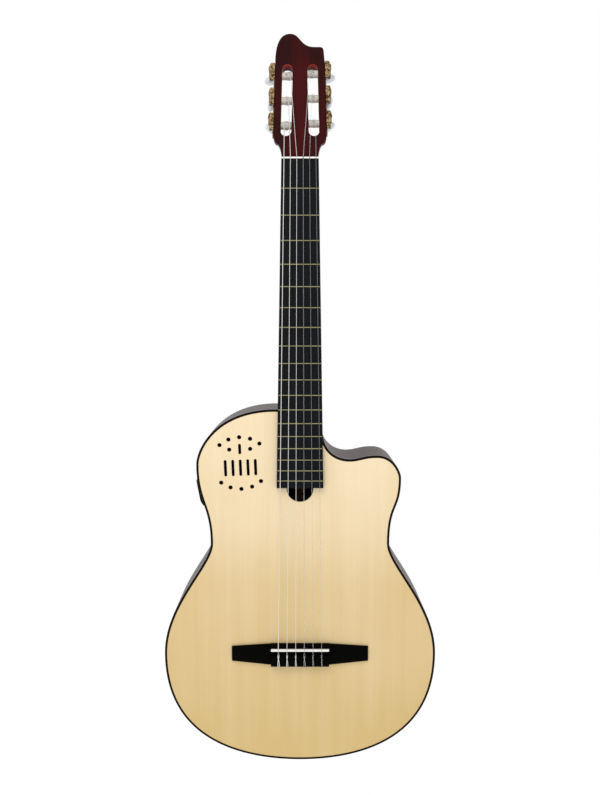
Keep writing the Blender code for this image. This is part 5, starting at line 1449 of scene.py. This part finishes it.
    def cover_mesh(self, side, along):
        """A cast cover in front of a gear and worm: it widens up the head in shallow scallops."""
        t = np.linspace(0, 1, 45)
        reach = along - 0.0088 + 0.0240 * t
        swell = np.sin(np.pi * np.clip(t, 0.02, 0.98)) ** 0.18
        outer = head_half(along) + 0.0060 + 0.0020 * t ** 0.7 + 0.0002 * np.cos(6 * np.pi * t)
        inner = head_half(reach) + GAP / 2
        outer = inner + (outer - inner) * swell
        outline = np.vstack([grid(outer, reach), grid(inner, reach)[::-1]])
        rings = rounded_slab(outline, -0.0011, -0.0001, 0.00025, 3)
        return ring_mesh("cover", head_place(rings * (side, 1, 1)))

    def post_mesh(self, side, axis_x, worm_along, low, high):
        """A post: a flat slab with a round nose from the plate out past the worm, rounded at its edges."""
        root = head_half(worm_along) + GAP + 0.0004
        tip = axis_x + 0.0024
        nose = arc((axis_x, worm_along + 0.0004), 0.0026, -90, 90, 15)
        outline = np.vstack([[(root, worm_along - 0.0024)], nose, [(root, worm_along + 0.0046)]])
        outline[:, 0] = np.minimum(outline[:, 0], tip)
        rings = rounded_slab(outline, low, high, 0.0003, 3)
        return ring_mesh("post", head_place(rings * (side, 1, 1)))


# Control unit and jack


def panel_axes():
    """The battery tray's place and the directions out of the bass rib and along it."""
    tray, outward = joint("battery_tray_slide")
    return tray, outward, joint("bass_slider_slide")[1]


def panel_place(points):
    """World points of an array of the panel's (along the rib, to the back, out of the rib) places."""
    tray, outward, along = panel_axes()
    points = np.asarray(points, float)
    base = np.array(tray - Vector((0.0, TRAY_BACK, 0.0)))
    run = points[..., :1] * np.array(along)
    back = points[..., 1:2] * np.array((0.0, 1.0, 0.0))
    return base + run + back + points[..., 2:] * np.array(outward)


def rib_profile():
    """The bass rib's face beside the panel: places along the rib and their levels out of the panel's base."""
    tray, outward, along = panel_axes()
    line = body_edge()
    line = line[:np.argmin(line[:, 1])] - (tray.x, tray.z)
    run = line @ (along.x, along.z)
    near = np.abs(run) < 0.03
    return run[near], (line @ (outward.x, outward.z))[near]


def slab(a, b, out):
    """A box on the panel between ranges along the rib, to the back and outwards."""
    return box_mesh(*zip(a, b, out), panel_place)


class BuildControls(bpy.types.Operator):
    """Build the control unit's panel, tray, knob and sliders, and the end pin's socket"""

    bl_idname = "guitar.build_controls"
    bl_label = "Build Controls"

    def execute(self, context):
        """Dress the housing and build what moves in it."""
        refinish("control_housing", "black_plastic")
        self.build_marks()
        self.build_bezel()
        self.build_tray()
        self.build_knob()
        for name, row in SLIDER_ROWS.items():
            self.build_slider(name, row)
        self.build_jack()
        return {"FINISHED"}

    def build_marks(self):
        """Raised grey marks: ticks along both sliders, longer in the middle, and dots round the knob."""
        out = (PANEL_FACE - 0.0002, PANEL_FACE + 0.0001)
        marks = []
        for row in SLIDER_ROWS.values():
            start = row + 0.0028
            for a in (-0.0080, -0.0040, 0.0, 0.0040, 0.0080):
                size = 0.0009 if a else 0.0014
                marks.append(slab((a - 0.00015, a + 0.00015), (start, start + size), out))
        for degrees in np.arange(-135, 136, 27):
            t = math.radians(degrees)
            dot = arc((-0.0078 * math.cos(t), KNOB_ROW + 0.0078 * math.sin(t)), 0.00035, 0, 360, 9)[:-1]
            marks.append(ring_mesh("dot", panel_place(outline_rings(dot, [(0.0, level) for level in out]))))
        add_piece("panel_marks", joined("panel_marks", marks), ["bone"], "guitar", [])

    def build_bezel(self):
        """A rim round the panel, from the rib up: it rises along the rib, then slopes off to its end."""
        half_a, half_b, corner, width = 0.0188, 0.0351, 0.0042, 0.0028
        bends = [arc((a * (half_a - corner), b * (half_b - corner)), corner, first, first + 90, 13)
                 for a, b, first in ((1, 1, 0), (-1, 1, 90), (-1, -1, 180), (1, -1, 270))]
        runs = [np.linspace(bend[-1], after[0], 16)[1:-1]
                for bend, after in zip(bends, bends[1:] + bends[:1])]
        outline = np.vstack([part for pair in zip(bends, runs) for part in pair])
        profile = rib_profile()

        def crest(drop):
            """A level under the rim's crest, which is a broken line along the rib."""
            rises = (0.0010, 0.0028, 0.0004)
            return lambda spot: PANEL_FACE + np.interp(spot[:, 0], (-half_a, 0.0100, half_a), rises) - drop

        levels = [(0.0, lambda spot: np.interp(spot[:, 0], *profile) + GAP), (0.0, crest(0.0004)),
                  (0.0006, crest(0.0)), (width - 0.0006, crest(0.0)), (width, crest(0.0005)),
                  (width, PANEL_FACE - 0.0003)]
        bezel = ring_mesh("bezel", panel_place(outline_rings(outline, levels)), closed=True)
        add_piece("panel_bezel", bezel, ["gasket"], "guitar", [])

    def build_tray(self):
        """A battery tray: a box with a hollow, and a lid face with a finger notch and grip lines."""
        tray = slab((-0.0147, 0.0147), (-0.0297, -0.0103), (-0.0497, PANEL_FACE))
        hollow = slab((-0.0120, 0.0120), (-0.0285, -0.0090), (-0.0480, -0.0010))
        notch = slab((-0.0060, 0.0060), (-0.0140, -0.0115), (PANEL_FACE - 0.0010, PANEL_FACE + 0.001))
        lines = [slab((a, a + 0.0006), (-0.0284, -0.0160), (PANEL_FACE - 0.0003, PANEL_FACE + 0.001))
                 for a in np.arange(-0.0110, 0.0111, 0.0022)]
        tray = carve(tray, [joined("hollows", [hollow, notch]), joined("lines", lines)])
        add_piece("tray", bevelled(tray, 0.00015), ["black_plastic"], "battery_tray",
                  ["battery_tray"])

    def build_knob(self):
        """A knob whose side is a fluted wave of the angle, with a stem and a pointer line.

        Each row of its profile is a radius, a level and whether it is fluted.
        """
        base = PANEL_FACE + GAP
        phi = full_turn(144)
        flute = 1 - 0.045 * (0.5 + 0.5 * np.cos(phi * 24)) ** 2
        profile = np.array([(0.0030, -0.0041, 0), (0.0030, base, 0), (0.0058, base, 1),
                            (0.0060, base + 0.0004, 1), (0.0056, base + 0.0034, 1),
                            (0.0050, base + 0.0040, 0), (0.0044, base + 0.0039, 0)])
        radius, level, fluted = profile.T[..., None]
        size = radius * np.where(fluted, flute, 1.0)
        places = grid(size * np.cos(phi), KNOB_ROW + size * np.sin(phi), level)
        line = slab((-0.0046, -0.0012), (0.0237, 0.0243), (base + 0.0036, base + 0.0044))
        mesh = joined("volume_knob", [ring_mesh("knob", panel_place(places)), line], [0, 1])
        add_piece("knob", mesh, ["black_plastic", "bone"], "volume_knob", ["volume_knob"], 36.0)

    def build_slider(self, name, row):
        """A slider cap with four grip ridges and a white line, on its stem."""
        base = PANEL_FACE + GAP
        cap = slab((-0.0036, 0.0036), (row - 0.0024, row + 0.0024), (base, base + 0.0016))
        grip = (row - 0.0021, row + 0.0021)
        ridges = [slab((a - 0.0003, a + 0.0003), grip, (base + 0.0012, base + 0.0022))
                  for a in (-0.0027, -0.0015, 0.0015, 0.0027)]
        stem = slab((-0.0015, 0.0015), (row - 0.0008, row + 0.0008), (-0.0041, base + 0.0008))
        line = slab((-0.0002, 0.0002), grip, (base + 0.0014, base + 0.0018))
        body = carve(cap, ridges + [stem], "UNION")
        mesh = joined(name, [bevelled(body, 0.00012), line], [0, 1])
        add_piece(f"{name}_cap", mesh, ["grey_plastic", "bone"], name, [name])

    def build_jack(self):
        """The end pin: threaded barrel, washer, waist and knurled mouth round a stepped socket."""
        thread = [(0.0058 - 0.0003 * (i % 2), -0.0380 + 0.0004 * i) for i in range(2, 90)]
        profile = [(0.0050, -0.0380)] + thread + [
            (0.0058, GAP), (0.0093, GAP), (0.0095, 0.0006), (0.0095, 0.0022), (0.0091, 0.0027),
            (0.0068, 0.0038), (0.0062, 0.0045), (0.0062, 0.0078), (0.0068, 0.0092), (0.0083, 0.0115),
            (0.0086, 0.0122), (0.0086, 0.0136), (0.0080, 0.0141), (0.0042, 0.0141), (0.0036, 0.0136),
            (0.0033, 0.0128), (0.0033, -0.0200)]
        pin = turned("end_pin", profile, pin_centre(), (0, 0, -1), 64)
        add_piece("end_pin", pin, ["chrome"], "guitar", ["end_pin_jack"], 34.0)


# Stage


CAMERA_PLACE = (0.0, -1.131, -0.213)
CAMERA_DIP = 4.83
LIT_POINT = (0.0, 0.05, -0.45)


class StageSettings(bpy.types.PropertyGroup):
    """The camera, the lamps and the floor."""

    lens: FloatProperty(name="Lens", description="Focal length in millimetres", default=51.5)
    key: FloatProperty(name="Key lamp", description="Power of the large lamp above", default=10.5,
                       unit="POWER")
    fill: FloatProperty(name="Fill lamp", description="Power of the lamp in front", default=3.0,
                        unit="POWER")
    sky: FloatProperty(name="Sky", description="Strength of the light from all round", default=0.55)
    floor_drop: FloatProperty(name="Floor", description="Height of the floor", default=-1.20, unit="LENGTH")
    floor_colour: FloatVectorProperty(name="Floor colour", description="Colour of the plain floor",
                                      subtype="COLOR", default=(0.93, 0.93, 0.93))


class BuildStage(bpy.types.Operator):
    """Build the camera, the lamps, the pale floor and the white surroundings"""

    bl_idname = "guitar.build_stage"
    bl_label = "Build Stage"

    def execute(self, context):
        """Set the view transform and add what isn't part of the guitar."""
        scene = context.scene
        settings = scene.guitar_stage
        scene.view_settings.view_transform = "Standard"
        camera = bpy.data.cameras.new("camera")
        camera.sensor_fit = "HORIZONTAL"
        camera.sensor_width = 36.0
        camera.lens = settings.lens
        scene.camera = linked("camera", camera)
        scene.camera.location = CAMERA_PLACE
        scene.camera.rotation_euler = (math.radians(90.0 - CAMERA_DIP), 0.0, 0.0)
        self.add_lamp("key_lamp", (-0.35, -0.95, 0.95), (1.2, 0.8), settings.key)
        self.add_lamp("fill_lamp", (-0.35, -1.9, 0.1), (1.6, 1.6), settings.fill)
        self.add_floor(settings)
        self.add_world(settings)
        return {"FINISHED"}

    def add_lamp(self, name, place, size, power):
        """An area lamp turned to the middle of the guitar."""
        lamp = bpy.data.lights.new(name, "AREA")
        lamp.shape = "RECTANGLE"
        lamp.size, lamp.size_y = size
        lamp.energy = power
        source = linked(name, lamp)
        source.location = place
        source.rotation_euler = (Vector(LIT_POINT) - Vector(place)).to_track_quat("-Z", "Y").to_euler()
        source.visible_glossy = False

    def add_floor(self, settings):
        """A round pale floor with a faint mottle."""
        turn, reach = full_turn(64), 9.0
        ring = grid(reach * np.cos(turn), reach * np.sin(turn), settings.floor_drop)
        mesh = bpy.data.meshes.new("floor")
        mesh.from_pydata(ring.tolist(), [], [list(range(64))])
        floor = linked("floor", mesh)
        g = Graph("pale_floor")
        shade = times(0.985, settings.floor_colour)
        finish = g.finish(Base_Color=g.mix(g.noise(3), settings.floor_colour, shade), Roughness=0.75,
                          Emission_Color=(1.0, 1.0, 1.0), Emission_Strength=0.45)
        mesh.materials.append(finish)

    def add_world(self, settings):
        """A world that lights at the sky's strength and shows as plain white."""
        world = bpy.data.worlds.new("surroundings")
        bpy.context.scene.world = world
        g = Graph("surroundings", world, "Background")
        seen = g.node("ShaderNodeLightPath", output="Is Camera Ray")
        for ray in ("Is Glossy Ray", "Is Transmission Ray"):
            seen = seen.math("MAXIMUM", g.node("ShaderNodeLightPath", output=ray))
        g.finish(Color=(1.0, 1.0, 1.0), Strength=settings.sky + seen * (1.0 - settings.sky))


class GuitarPanel(bpy.types.Panel):
    """The guitar's settings and operators in the 3D view's sidebar"""

    bl_idname = "VIEW3D_PT_guitar"
    bl_label = "Guitar"
    bl_space_type = "VIEW_3D"
    bl_region_type = "UI"
    bl_category = "Guitar"

    def draw(self, context):
        """List the settings, then the operators in building order."""
        layout = self.layout
        for settings in (context.scene.guitar_colours, context.scene.guitar_body, context.scene.guitar_stage):
            column = layout.column(align=True)
            for name in settings.__annotations__:
                column.prop(settings, name)
        for operator in OPERATORS:
            layout.operator(operator.bl_idname)


OPERATORS = (BuildSoundbox, BuildNeck, BuildFingerboard, BuildBridge, BuildStrings, BuildMachines,
             BuildControls, BuildStage)
SETTINGS = {"guitar_body": BodySettings, "guitar_colours": ColourSettings, "guitar_stage": StageSettings}


def register():
    """Register the settings, the operators and the panel."""
    for group in SETTINGS.values():
        bpy.utils.register_class(group)
    for operator in OPERATORS:
        bpy.utils.register_class(operator)
    bpy.utils.register_class(GuitarPanel)
    for name, group in SETTINGS.items():
        setattr(bpy.types.Scene, name, PointerProperty(type=group))


def unregister():
    """Remove what register added."""
    for name in SETTINGS:
        delattr(bpy.types.Scene, name)
    bpy.utils.unregister_class(GuitarPanel)
    for operator in reversed(OPERATORS):
        bpy.utils.unregister_class(operator)
    for group in reversed(tuple(SETTINGS.values())):
        bpy.utils.unregister_class(group)


def main():
    """Build the whole guitar."""
    register()
    for operator in OPERATORS:
        family, call = operator.bl_idname.split(".")
        getattr(getattr(bpy.ops, family), call)()
    bpy.context.view_layer.update()


if __name__ == "__main__":
    main()
